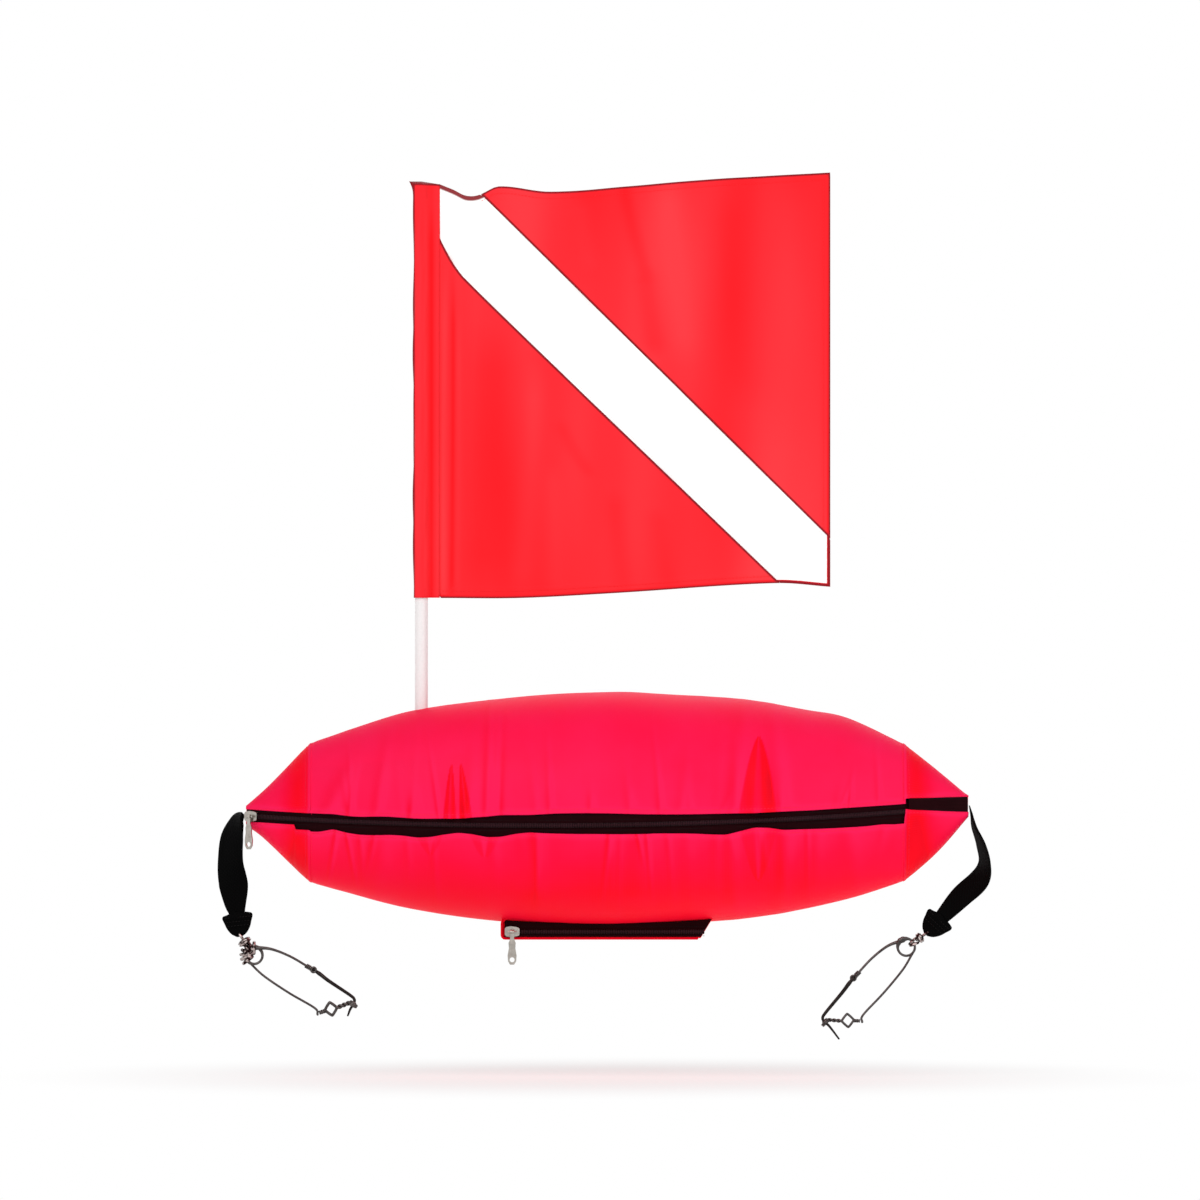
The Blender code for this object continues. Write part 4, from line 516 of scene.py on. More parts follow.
def cover_painted_shading(side, x, rise, around):
    """Painted light and shade on the red: a painted sheen makes the upper half pinkish and painted shade
    makes the lower half purer and deeper; painted shade deepens pleats, one side of each wrinkle and the tips
    by their seams, and painted highlights lighten pleat crests, the other wrinkle sides and the hem roll.
    """
    # A painted sheen makes the upper half pinkish, deepening a little towards the crown; painted shade
    # deepens the lower half towards the keel, less so towards the tips.
    if side > 0:
        value = 0.10 + 0.14 * np.clip(rise / UPPER_SHADE_RISE, 0, 1) ** 3
    else:
        value = 0.24 + 0.38 * np.clip(rise / LOWER_SHADE_RISE, 0, 1) - 0.12 * (x / SEAM_PLACE) ** 2
    # Painted shade inside the pleats, with a painted highlight along their crests.
    share, _ = pleat_share(side, x, np.where(around < 1, rise, 1))
    held = np.clip(share / 0.16, 0, 1)
    crest = np.exp(-((share - 0.93) / 0.16) ** 2)
    value = value + held * ((0.56 if side > 0 else 0.16) - (0.3 if side > 0 else 0.34) * crest)
    # Painted shade on one side of each wrinkle and a painted highlight on the other, from the wrinkle's
    # slope.
    left, right = (wrinkle_depth(side, x + way * SLOPE_STEP, rise, around) for way in (-1, 1))
    value = value + np.clip(0.85 * ((right - left) / (2 * SLOPE_STEP)), -0.16, 0.42)
    # A painted highlight: a pale line along the hem where the cloth rolls over the zip.
    value = value - 0.2 * np.exp(-((rise - HEM_HIGHLIGHT_PLACE) / HEM_HIGHLIGHT_REACH) ** 2) * (around < 1)
    # Painted shade on the tip panels, deepest in a band just beyond each seam.
    nose = np.clip((np.abs(x) - SEAM_PLACE) / MM, 0, 1)
    inner = np.exp(-((np.abs(x) - SEAM_PLACE - NOSE_SHADE_PLACE) / NOSE_SHADE_REACH) ** 2)
    return np.minimum(value + nose * (0.05 + 0.5 * inner), np.where(held > 0, 1, 0.74))


BODY_COLUMNS = 520
NOSE_COLUMNS = 44
ROUND_ROWS = 86
LAP_REACH = 1.2 * MM
LAP_START = 1.6 * MM
LAP_STAND = 0.5 * MM
BODY_INSET = 0.3 * MM
start = np.linspace(0, 1, ROUND_ROWS)
around_rows = 2 * (0.6 * start + 0.4 * start ** 1.8)
body_x = np.linspace(-SEAM_PLACE + BODY_INSET, SEAM_PLACE - BODY_INSET, BODY_COLUMNS)
for half, side in (("upper", 1), ("lower", -1)):
    points, rise = skin_points(side, body_x[None, :], around_rows[:, None], HEM_BODY)
    # Painted sheen and shade for every vertex of the half, stored as an attribute.
    painted_shadings = cover_painted_shading(side, *np.broadcast_arrays(body_x[None, :], rise, around_rows[:, None]))
    cloth = grid_object("cover_cloth_" + half, points, (0, 0, 0), {"painted_shading": painted_shadings}, thickness=CLOTH_WALL)
    settle(cloth, "float_body", "cover_" + half, cover_nylon)

for name, end in (("left", -1), ("right", 1)):
    nose_x = end * np.concatenate([[SEAM_PLACE - LAP_START, SEAM_PLACE - LAP_REACH],
                                   np.linspace(SEAM_PLACE, HALF_LENGTH, NOSE_COLUMNS)])
    lap = LAP_STAND * np.clip((SEAM_PLACE - np.abs(nose_x)) / LAP_REACH + 1, 0, 1)
    parts, painted_shadings = [], []
    for side in (1, -1):
        hem = np.where(np.abs(nose_x) < SEAM_PLACE, HEM_BODY, nose_hem(side, nose_x))
        points, rise = skin_points(side, nose_x[None, :], around_rows[:, None], hem[None, :], wavy=False)
        angle = around_rows * math.pi / 2
        outward = np.stack([0 * angle, -np.cos(angle), side * np.sin(angle)], axis=-1)
        points = points + outward[:, None, :] * lap[None, :, None]
        # Painted sheen and shade for the tips.
        shade = cover_painted_shading(side, *np.broadcast_arrays(nose_x[None, :], rise, around_rows[:, None]))
        parts.append(points if side > 0 else points[::-1][1:])
        painted_shadings.append(shade if side > 0 else shade[::-1][1:])
    cloth = grid_object("nose_cloth_" + name, np.concatenate(parts), (end * SEAM_PLACE, 0, 0),
                        {"painted_shading": np.concatenate(painted_shadings)}, thickness=CLOTH_WALL)
    settle(cloth, "float_body", "cover_nose_" + name, cover_nylon)

# Run of beads: one small shape set again and again along a line, for stitches and for the coil's loops.
# Thread, loop and spacing are named inputs; nothing in it is random.
run_tree = bpy.data.node_groups.new("bead_run", "GeometryNodeTree")
run_tree.interface.new_socket("Line", in_out="INPUT", socket_type="NodeSocketGeometry")
for name, value in (("Pitch", 3 * MM), ("Along", 2 * MM), ("Across", 0.4 * MM), ("Height", 0.4 * MM)):
    socket = run_tree.interface.new_socket(name, in_out="INPUT", socket_type="NodeSocketFloat")
    socket.default_value = value
run_tree.interface.new_socket("Finish", in_out="INPUT", socket_type="NodeSocketMaterial")
run_tree.interface.new_socket("Beads", in_out="OUTPUT", socket_type="NodeSocketGeometry")
entry = run_tree.nodes.new("NodeGroupInput").outputs
curve = node(run_tree, "GeometryNodeMeshToCurve", {"Mesh": entry["Line"]})
even = node(run_tree, "GeometryNodeResampleCurve", {"Curve": curve, "Length": entry["Pitch"]}, mode="LENGTH")
heading = node(run_tree, "GeometryNodeInputTangent")
facing = node(run_tree, "FunctionNodeAlignRotationToVector", {"Vector": heading}, axis="X")
bead = node(run_tree, "GeometryNodeMeshUVSphere", {"Segments": 6, "Rings": 5, "Radius": 0.5}, out="Mesh")
size = node(run_tree, "CombineXYZ", {"X": entry["Along"], "Y": entry["Height"], "Z": entry["Across"]})
placed = node(run_tree, "GeometryNodeInstanceOnPoints",
              {"Points": even, "Instance": bead, "Rotation": facing, "Scale": size})
smooth = node(run_tree, "GeometryNodeSetShadeSmooth",
              {"Geometry": node(run_tree, "GeometryNodeRealizeInstances", {"Geometry": placed})})
coloured = node(run_tree, "GeometryNodeSetMaterial", {"Geometry": smooth, "Material": entry["Finish"]})
node(run_tree, "NodeGroupOutput", {"Beads": coloured})


def bead_run(name, lines, pitch, sizes, finish, body, node_name=None):
    """One object of beads along lines of points, riding on a body. sizes: along, across and height."""
    mesh = bpy.data.meshes.new(name)
    points, edges = [], []
    for line in lines:
        first = len(points)
        points += [tuple(point) for point in line]
        edges += [(first + i, first + i + 1) for i in range(len(line) - 1)]
    mesh.from_pydata(points, edges, [])
    guide = add_object(name + "_line", mesh)
    change = guide.modifiers.new("beads", "NODES")
    change.node_group = run_tree
    names = {item.name: item.identifier for item in run_tree.interface.items_tree if item.in_out == "INPUT"}
    for key, value in zip(("Pitch", "Along", "Across", "Height", "Finish"), (pitch, *sizes, finish)):
        change[names[key]] = value
    graph = bpy.context.evaluated_depsgraph_get()
    made_mesh = bpy.data.meshes.new_from_object(guide.evaluated_get(graph))
    bpy.data.objects.remove(guide)
    return settle(add_object(name, made_mesh), body, node_name)


# Bonded polyester thread: matt, lightly twisted, dyed to its cloth or black.
def thread_material(name, code):
    """Twisted thread in one colour."""
    made, tree = new_material(name)
    values = {"Vector": node(tree, "TexCoord", out="Object"), "Scale": 900.0, "Distortion": 1.0}
    twist = node(tree, "TexWave", values, out="Fac", bands_direction="DIAGONAL")
    shaded = [part * 0.85 for part in linear(code)[:3]] + [1]
    surface(tree, {"Roughness": 0.6, "Specular IOR Level": 0.1,
                   "Base Color": mixed(tree, twist, code, shaded),
                   "Normal": bump_node(tree, twist, 0.3, 0.1 * MM)})
    return made


red_thread = thread_material("bonded_thread_red", "FF2448")
black_thread = thread_material("bonded_thread_black", "151213")


# Seams of the cover: a line of red stitches each side of the tip seams, along both hems over the zip,
# and either side of the closing seam at the back.
SEAM_STITCH = 3.2 * MM
SEAM_STITCH_SIZES = (2.5 * MM, 0.45 * MM, 0.4 * MM)
SEAM_OFFSET = 2.6 * MM
STITCH_LIFT = 0.1 * MM
RING_LIFT = 0.12 * MM
RING_SPAN = (0.035, 1.98)
HEM_ROW, BACK_ROW, NOSE_ROW = 0.022, 1.965, 0.03
SEAM_MARGIN, TIP_MARGIN = 4 * MM, 2 * MM
seam_lines = []
for side in (1, -1):
    for end in (-1, 1):
        for off in (-SEAM_OFFSET, SEAM_OFFSET):
            place = np.full(120, end * (SEAM_PLACE + off))
            hem = HEM_BODY if off * end < 0 else nose_hem(side, place)
            seam_lines.append(skin_points(side, place, np.linspace(*RING_SPAN, 120), hem, lift=RING_LIFT)[0])
    along = np.linspace(-SEAM_PLACE + SEAM_MARGIN, SEAM_PLACE - SEAM_MARGIN, 260)
    for row in (HEM_ROW, BACK_ROW):
        seam_lines.append(skin_points(side, along, np.full(260, row), HEM_BODY, lift=STITCH_LIFT)[0])
    for end in (-1, 1):
        along = end * np.linspace(SEAM_PLACE + SEAM_MARGIN, HALF_LENGTH - TIP_MARGIN, 40)
        seam_lines.append(skin_points(side, along, np.full(40, NOSE_ROW), nose_hem(side, along),
                                      lift=STITCH_LIFT)[0])
bead_run("cover_stitches", seam_lines, SEAM_STITCH, SEAM_STITCH_SIZES, red_thread, "float_body")


# Main zip: two woven black tapes sewn under the hems, with the nylon coil closed over their joint.
# The coil's loops lie across the joint 1.5 mm apart, and a lockstitch holds each side to its tape.
TAPE_MARGIN = 1.5 * MM
TAPE_TUCK = 4 * MM
TAPE_ROOM = 2.5 * MM
TAPE_GAP = 0.15 * MM
TAPE_WALL = 0.6 * MM
COIL_PITCH = 1.45 * MM
COIL_SIZES = (1.5 * MM, 4.6 * MM, 1.5 * MM)
COIL_STAND = 0.75 * MM
COIL_STITCH_OFF = 1.35 * MM
TAPE_STITCH = 1.9 * MM
TAPE_STITCH_SIZES = (1.7 * MM, 0.4 * MM, 0.35 * MM)
TAPE_ROWS = ((COIL_STITCH_OFF, -1.42 * MM), (4.4 * MM, 0.55 * MM))
TUCK_START, TUCK_REACH = 4 * MM, 22 * MM
TAPE_INSET, TAPE_SAG = 0.35 * MM, 0.95 * MM
TAPE_RIPPLE, TAPE_RIPPLE_RUN = 0.12 * MM, 9 * MM

tape_weave, tree = new_material("woven_polyester_tape")
weave, bump = woven_bump(tree, 1.1 * MM, 0.35, 0.2 * MM)
# Painted red reflection on the black tape: its thread tops are painted a lighter dark red, mottled by noise,
# and its highlights are tinted pink.
mottled_red_glint = math_node(tree, "MULTIPLY", weave, object_noise(tree, 45.0, 4.0))
surface(tree, {"Roughness": 0.72, "Specular IOR Level": 0.1, "Specular Tint": "FF8C96",
               "Base Color": mixed(tree, mottled_red_glint, "0C0203", "360C14"), "Normal": bump})


def tape_points(x, across, inset):
    """Points of the main zip's tape; across runs from the joint up or down in metres."""
    x, across, inset = np.broadcast_arrays(x, across, inset)
    points = zip_line(x) - zip_outward(x) * inset[..., None]
    points[..., 2] += across
    return points


tape_x = np.linspace(-HALF_LENGTH + TAPE_MARGIN, HALF_LENGTH - TAPE_MARGIN, 300)
for half, side in (("upper", 1), ("lower", -1)):
    share = np.linspace(0, 1, 9)[:, None]
    tuck = TAPE_TUCK * np.clip((HALF_LENGTH - TUCK_START - np.abs(tape_x)) / TUCK_REACH, 0, 1)
    wide = np.minimum(np.where(np.abs(tape_x) > SEAM_PLACE, HEM_NOSE, HEM_BODY) + tuck,
                      outline_height(side, tape_x) - TAPE_ROOM)[None, :]
    across = side * (TAPE_GAP + share * wide)
    sag = TAPE_INSET + TAPE_SAG * share ** 2 + TAPE_RIPPLE * np.sin(tape_x[None, :] / TAPE_RIPPLE_RUN)
    tape = grid_object("main_tape_" + half, tape_points(tape_x[None, :], across, sag), (0, 0.4, 0),
                       thickness=TAPE_WALL)
    settle(tape, "float_body", "main_zip_tape_" + half, tape_weave)

# Nylon monofilament: black, moulded smooth, with a soft gloss on the top of each loop.
coil_nylon, tree = new_material("nylon_monofilament")
surface(tree, {"Roughness": 0.34, "Specular IOR Level": 0.3, "Specular Tint": "FFA0AC",
               "Base Color": mixed(tree, object_noise(tree, 30.0, 3.0), "0C0608", "2A141C")})

coil_x = np.linspace(-HALF_LENGTH + 2 * TAPE_MARGIN, SEAM_PLACE - TAPE_MARGIN, 380)
bead_run("main_coil_loops", [tape_points(coil_x, 0 * coil_x, -COIL_STAND)], COIL_PITCH, COIL_SIZES,
         coil_nylon, "float_body", "main_zip_coil")
stitch_lines = [tape_points(coil_x, side * off + 0 * coil_x, inset)
                for off, inset in TAPE_ROWS for side in (-1, 1)]
bead_run("main_tape_stitches", stitch_lines, TAPE_STITCH, TAPE_STITCH_SIZES, black_thread, "float_body")


# Patch of black binding over the closed end of the zip, box-stitched on to the right tip.
PATCH_STAND = 2.1 * MM
PATCH_LAP = 0.6 * MM
PATCH_RIPPLE, PATCH_RIPPLE_RUN = 0.25 * MM, 4.5 * MM
PATCH_STITCH = 2.4 * MM
PATCH_STITCH_SIZES = (2.0 * MM, 0.4 * MM, 0.35 * MM)
PATCH_STITCH_EDGE, PATCH_STITCH_STAND = 0.8 * MM, 1.5 * MM
patch_x = np.linspace(SEAM_PLACE + TAPE_MARGIN, HALF_LENGTH - TAPE_MARGIN, 40)[None, :]
share = np.linspace(-1, 1, 25)[:, None]
stand = PATCH_STAND * (1 - 0.85 * np.clip((np.abs(share) - 0.55) / 0.45, 0, 1) ** 1.5) + 0 * patch_x
stand = stand + PATCH_RIPPLE * np.sin(patch_x / PATCH_RIPPLE_RUN) * (1 - share ** 2)
patch_foot = -nose_hem(-1, patch_x) - PATCH_LAP
patch_rise = patch_foot + (share + 1) / 2 * (nose_hem(1, patch_x) + PATCH_LAP - patch_foot)
patch = grid_object("main_zip_patch", tape_points(patch_x, patch_rise, -stand), (0, 0.4, 0),
                    thickness=TAPE_WALL)
settle(patch, "float_body", "main_zip_end_patch", tape_weave)
inner = np.linspace(SEAM_PLACE + SEAM_MARGIN, HALF_LENGTH - SEAM_MARGIN, 30)
patch_lines = [tape_points(inner, side * (nose_hem(side, inner) - PATCH_STITCH_EDGE), -PATCH_STITCH_STAND)
               for side in (-1, 1)]
bead_run("main_patch_stitches", patch_lines, PATCH_STITCH, PATCH_STITCH_SIZES, black_thread, "float_body")


# Sliders and pulls: die-cast zinc with a nickel plate, tumbled so that every edge is soft.
# The plate is bright with a faint warm cast, and darker in a fine random mottle of dirt.
CAST_EDGE = 0.28 * MM
nickel_plate, tree = new_material("nickel_plated_zinc")
stain_and_glint = object_noise(tree, 260.0, 3.0)
surface(tree, {"Metallic": 1.0, "Base Color": mixed(tree, stain_and_glint, "8A837C", "C9C4BC"),
               "Roughness": ranged(tree, stain_and_glint, 0.2, 0.42),
               "Normal": bump_node(tree, stain_and_glint, 0.15, 0.05 * MM)})


def softened(name, node_name, width, finish):
    """A copy of a CAD solid with its flat faces joined and its edges rounded."""
    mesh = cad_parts[node_name].data.copy()
    mesh.name = name
    shape = bmesh.new()
    shape.from_mesh(mesh)
    bmesh.ops.remove_doubles(shape, verts=shape.verts, dist=1e-6)
    bmesh.ops.dissolve_limit(shape, angle_limit=math.radians(1.5), verts=shape.verts, edges=shape.edges)
    shape.to_mesh(mesh)
    shape.free()
    mesh.materials.clear()
    made = add_object(name, mesh)
    edge = made.modifiers.new("edge", "BEVEL")
    edge.width = width
    edge.segments = 3
    edge.limit_method = "ANGLE"
    edge.angle_limit = math.radians(28)
    edge.harden_normals = True
    mesh.shade_smooth()
    settle(made, node_name, node_name, finish)


for node_name in ("main_slider", "main_pull", "pocket_slider", "pocket_pull"):
    softened(node_name + "_cast", node_name, CAST_EDGE, nickel_plate)


# Bladder: clear vinyl, welded, blown up tight inside the cover, with its valve; seen only through the zip.
BLADDER_INSET = 2.6 * MM
BLADDER_HALF = 283 * MM
DENT_RADIUS = 9 * MM
DENT_DEPTH = 200 * MM
vinyl, tree = new_material("clear_vinyl_film")
cloud = object_noise(tree, 22.0, 2.0)
surface(tree, {"Roughness": 0.22, "IOR": 1.53, "Coat Weight": 0.2,
               "Base Color": mixed(tree, cloud, "DCE3E8", "F2F6F8"),
               "Normal": bump_node(tree, cloud, 0.2, 0.4 * MM)})
bladder_x = np.linspace(-BLADDER_HALF, BLADDER_HALF, 120)[:, None]
rings = []
for side in (1, -1):
    points, _ = skin_points(side, bladder_x, np.linspace(0, 2, 41)[None, :], HEM_BODY,
                            lift=-BLADDER_INSET, plain=True)
    points[..., 1] *= np.sqrt(np.clip(1 - (bladder_x / (BLADDER_HALF + 1 * MM)) ** 16, 0.05, 1))
    rings.append(points if side > 0 else points[:, ::-1])
bladder_film = grid_object("bladder_film", np.concatenate(rings, axis=1), (0, 0, 0), loop=True)
shape = bmesh.new()
shape.from_mesh(bladder_film.data)
bmesh.ops.holes_fill(shape, edges=[edge for edge in shape.edges if edge.is_boundary], sides=0)
shape.to_mesh(bladder_film.data)
shape.free()
socket_low, socket_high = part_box("pole_socket")
shape = bmesh.new()
bmesh.ops.create_cone(shape, cap_ends=True, segments=32, radius1=DENT_RADIUS, radius2=DENT_RADIUS,
                      depth=DENT_DEPTH)
cutter_mesh = bpy.data.meshes.new("dent")
shape.to_mesh(cutter_mesh)
shape.free()
cutter = add_object("dent", cutter_mesh)
cutter.location = ((socket_low.x + socket_high.x) / 2, 0, socket_low.z - 1 * MM + DENT_DEPTH / 2)
dent = bladder_film.modifiers.new("dent", "BOOLEAN")
dent.object = cutter
dent.solver = "EXACT"
graph = bpy.context.evaluated_depsgraph_get()
dented = bpy.data.meshes.new_from_object(bladder_film.evaluated_get(graph))
bladder_film.modifiers.clear()
bladder_film.data = dented
bpy.data.objects.remove(cutter)
dented.materials.clear()
settle(bladder_film, "float_body", "bladder", vinyl)


# Small moulded pieces: the valve, the pole's white socket and tube, and the rubber caps.
# Polypropylene and PVC are satin with a fine mould grain; the rubber is dull and a little dusty.
def moulded_material(name, low, high, roughness, grain, coat=0.0):
    """Moulded plastic between two shades, with a fine grain."""
    made, tree = new_material(name)
    fine = object_noise(tree, grain, 4.0, 0.6)
    surface(tree, {"Roughness": roughness, "IOR": 1.49, "Coat Weight": coat,
                   "Base Color": mixed(tree, fine, low, high),
                   "Normal": bump_node(tree, fine, 0.12, 0.08 * MM)})
    return made


white_pvc = moulded_material("extruded_white_pvc", "E6E2E2", "F4F1F1", 0.38, 500.0, 0.1)
rubber = moulded_material("moulded_black_rubber", "141414", "262423", 0.75, 900.0)
valve_vinyl = moulded_material("moulded_clear_vinyl", "C9D2D8", "E4EBEF", 0.3, 400.0)
lead = moulded_material("cast_lead", "4A4D50", "6E7276", 0.6, 220.0)
for node_name, finish in (("valve_body", valve_vinyl), ("valve_plug", rubber), ("pole_socket", white_pvc),
                          ("flag_pole", white_pvc), ("pole_top_cap", rubber), ("pole_foot_cap", rubber),
                          ("ballast_weight", lead)):
    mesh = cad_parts[node_name].data
    mesh.materials.clear()
    mesh.materials.append(finish)


# Flag: two red nylon panels with a white stripe sewn between them, hemmed all round, and a hoist sleeve
# that slips over the pole. It hangs in soft upright folds, tightest beside the sleeve.
POLE_PLACE = -158.5 * MM
FLAG_WIDTH = 333.4 * MM
FLAG_HEIGHT = 353.6 * MM
FLAG_BOTTOM = 178.3 * MM
FLAG_WALL = 0.6 * MM
FLAG_LEFT = POLE_PLACE + 15.2 * MM
HEM_WIDTH = 7 * MM
RIM_WIDTH = 2.8 * MM
STRIPE_STAND = 0.35 * MM
WAVE_LENGTH = 128 * MM
TOP_SHARES = ((0, 0.9986), (0.035, 0.985), (0.069, 0.970), (0.102, 0.972), (0.151, 0.993), (0.281, 0.980),
              (0.478, 0.993), (0.739, 1.013), (1, 1.026))
BOTTOM_SHARES = ((0, 0), (0.205, 0), (0.45, 0.012), (0.862, 0.036), (1, 0.027))
STRIPE_TOP = 0.107
STRIPE_HOIST = 0.871
STRIPE_BENDS = ((0.036, 0.803), (0.0815, 0.7525))
STRIPE_FOOT = 0.872
STRIPE_FLY = 0.143
# Painted fold shading: place from the hoist and height share at both ends, half width, and how much painted
# shade deepens the red (negative: a painted highlight)
FOLD_SHADE_BANDS = (
    (158, 1.00, 176, 0.78, 6, 0.8), (176, 0.78, 184, 0.60, 9, 0.7), (196, 0.98, 210, 0.60, 14, -0.5),
    (12, 0.72, 10.5, 0.00, 2.4, 1.4), (4, 0.72, 3, 0.00, 3.0, -0.7), (17, 0.62, 16, 0.00, 2.4, -0.4),
    (46, 0.60, 36, 0.06, 20, 0.55), (82, 0.52, 70, 0.03, 10, -0.6), (104, 0.42, 128, 0.30, 6, 0.45),
    (96, 0.30, 100, 0.02, 8, -0.35), (150, 0.24, 158, 0.02, 8, 0.5), (186, 0.20, 196, 0.03, 9, 0.35),
    (212, 0.46, 200, 0.32, 10, 0.5), (244, 0.95, 262, 0.50, 17, 0.35), (300, 0.98, 292, 0.30, 15, -0.4),
    (120, 0.95, 128, 0.80, 8, -0.3),
)


def flag_place(share, up_share):
    """Points in the flag's plane from shares of its width and height."""
    share, up_share = np.broadcast_arrays(share, up_share)
    return np.stack([FLAG_LEFT + FLAG_WIDTH * share, 0 * share, FLAG_BOTTOM + FLAG_HEIGHT * up_share],
                    axis=-1)


def on_top(share, inward=0.0):
    """Places on the flag's top edge, or a share of its height below it."""
    return flag_place(share, smooth_value(TOP_SHARES, share) - inward)


def on_foot(share, inward=0.0):
    """Places on the flag's lower edge, or a share of its height above it."""
    return flag_place(share, smooth_value(BOTTOM_SHARES, share) + inward)


def resampled(points, count):
    """The same run of points, evenly spaced."""
    points = np.array(points, float)
    reach = np.concatenate([[0], np.cumsum(np.linalg.norm(np.diff(points, axis=0), axis=1))])
    at = np.linspace(0, reach[-1], count)
    return np.stack([np.interp(at, reach, points[:, k]) for k in range(3)], axis=-1)


def rounded(points, times):
    """A run of points with its bends cut round and round, the ends kept."""
    points = np.array(points, float)
    for _ in range(times):
        first, last = points[:-1], points[1:]
        cut = np.stack([0.75 * first + 0.25 * last, 0.25 * first + 0.75 * last], axis=1)
        points = np.concatenate([points[:1], cut.reshape(-1, 3)[1:-1], points[-1:]])
    return points


def painted_fold_shade(points):
    """Painted shade along the flag's folds, as a depth of red; where negative, a painted highlight."""
    out = (points[..., 0] - FLAG_LEFT) / MM
    up = (points[..., 2] - FLAG_BOTTOM) / FLAG_HEIGHT
    depth = 0 * out
    for out_a, up_a, out_b, up_b, half_width, red in FOLD_SHADE_BANDS:
        along = (up_a - up) / (up_a - up_b)
        ends = np.clip((along + 0.12) / 0.2, 0, 1) * np.clip((1.12 - along) / 0.2, 0, 1)
        across = (out - out_a - (out_b - out_a) * np.clip(along, 0, 1) ** 1.3) / half_width
        depth = depth + red * ends * np.exp(-across ** 2)
    return depth


GATHER_REACH, GATHER_RUN, GATHER_START = 34 * MM, 2.9 * MM, 3 * MM
SWAY_LENGTH = 47 * MM
SAG_PLACE, SAG_REACH = 24 * MM, 16 * MM


def hang(points):
    """How far the cloth stands to the back (+) or front (-) of the flag's plane."""
    out = points[..., 0] - FLAG_LEFT
    up = (points[..., 2] - FLAG_BOTTOM) / FLAG_HEIGHT
    grown = np.clip(out / WAVE_LENGTH, 0, 1)
    wave = 4.5 * grown * np.sin(math.tau * out / WAVE_LENGTH + up)
    near = np.exp(-(out / GATHER_REACH) ** 2)
    gathers = np.sin(out / GATHER_RUN + 0.8 * np.sin(up * 5))
    wave = wave + 1.5 * near * gathers * np.clip(out / GATHER_START, 0, 1)
    wave = wave + 1.1 * grown * np.sin(math.tau * out / SWAY_LENGTH + 2.2 * up + 1.0) * (0.45 + 0.55 * up)
    slant = out / FLAG_WIDTH - (1 - up)
    wave = wave + 0.8 * grown * np.sin(slant * 17 + 0.6) * np.exp(-((slant + 0.1) / 0.35) ** 2)
    sag = np.exp(-((out - SAG_PLACE) / SAG_REACH) ** 2 - ((1 - up) / 0.07) ** 2)
    return (wave - 3.0 * sag) * MM


def seam_distance(points, seams):
    """How far points of the flag's plane lie from the nearest of some seams."""
    best = np.full(points.shape[:2], 1.0)
    for seam in seams:
        for start, end in zip(seam[:-1], seam[1:]):
            start, end = np.array(start)[[0, 2]], np.array(end)[[0, 2]]
            place = points[..., [0, 2]] - start
            share = np.clip(place @ (end - start) / (end - start).dot(end - start), 0, 1)
            best = np.minimum(best, np.linalg.norm(place - share[..., None] * (end - start), axis=-1))
    return best


def flag_cloth(name, near, far, rows, columns, stand, seams):
    """A panel between two long edges, with its distances from hems, seams and low edges, and its painted fold
    shade, as attributes.
    """
    near, far = resampled(near, columns), resampled(far, columns)
    share = np.linspace(0, 1, rows)[:, None, None]
    points = near[None] * (1 - share) + far[None] * share
    x = (points[..., 0] - FLAG_LEFT) / FLAG_WIDTH
    up = (points[..., 2] - FLAG_BOTTOM) / FLAG_HEIGHT
    points[..., 1] = hang(points) + stand
    top = (smooth_value(TOP_SHARES, x) - up) * FLAG_HEIGHT
    rim = np.minimum((1 - x) * FLAG_WIDTH, (up - smooth_value(BOTTOM_SHARES, x)) * FLAG_HEIGHT)
    thick_line, thick_rim = (0.2 * MM, 0.6 * MM) if seams else (-2.0 * MM, -0.3 * MM)
    seam = np.minimum.reduce([seam_distance(points, seams), np.abs(top) + thick_line,
                              np.abs(rim) + thick_rim])
    marks = {"border": np.minimum(rim, top), "seam": seam, "rim": rim, "fold_shade": painted_fold_shade(points)}
    return grid_object(name, points, (0, 5, 0), marks, thickness=FLAG_WALL,
                       uv=(points[..., 0], points[..., 2]))


# Flag nylon: lighter and less coated than the cover, warm red, slightly see-through in look, with the
# hems doubled and so deeper, and with painted shade and painted highlights along its folds. Threads 0.3 mm
# apart, drawn 1.2 mm apart so that they show.
HEM_FADE = 0.5 * MM
SEAM_LINE, SEAM_LINE_FADE = 1.2 * MM, 2.5 * MM


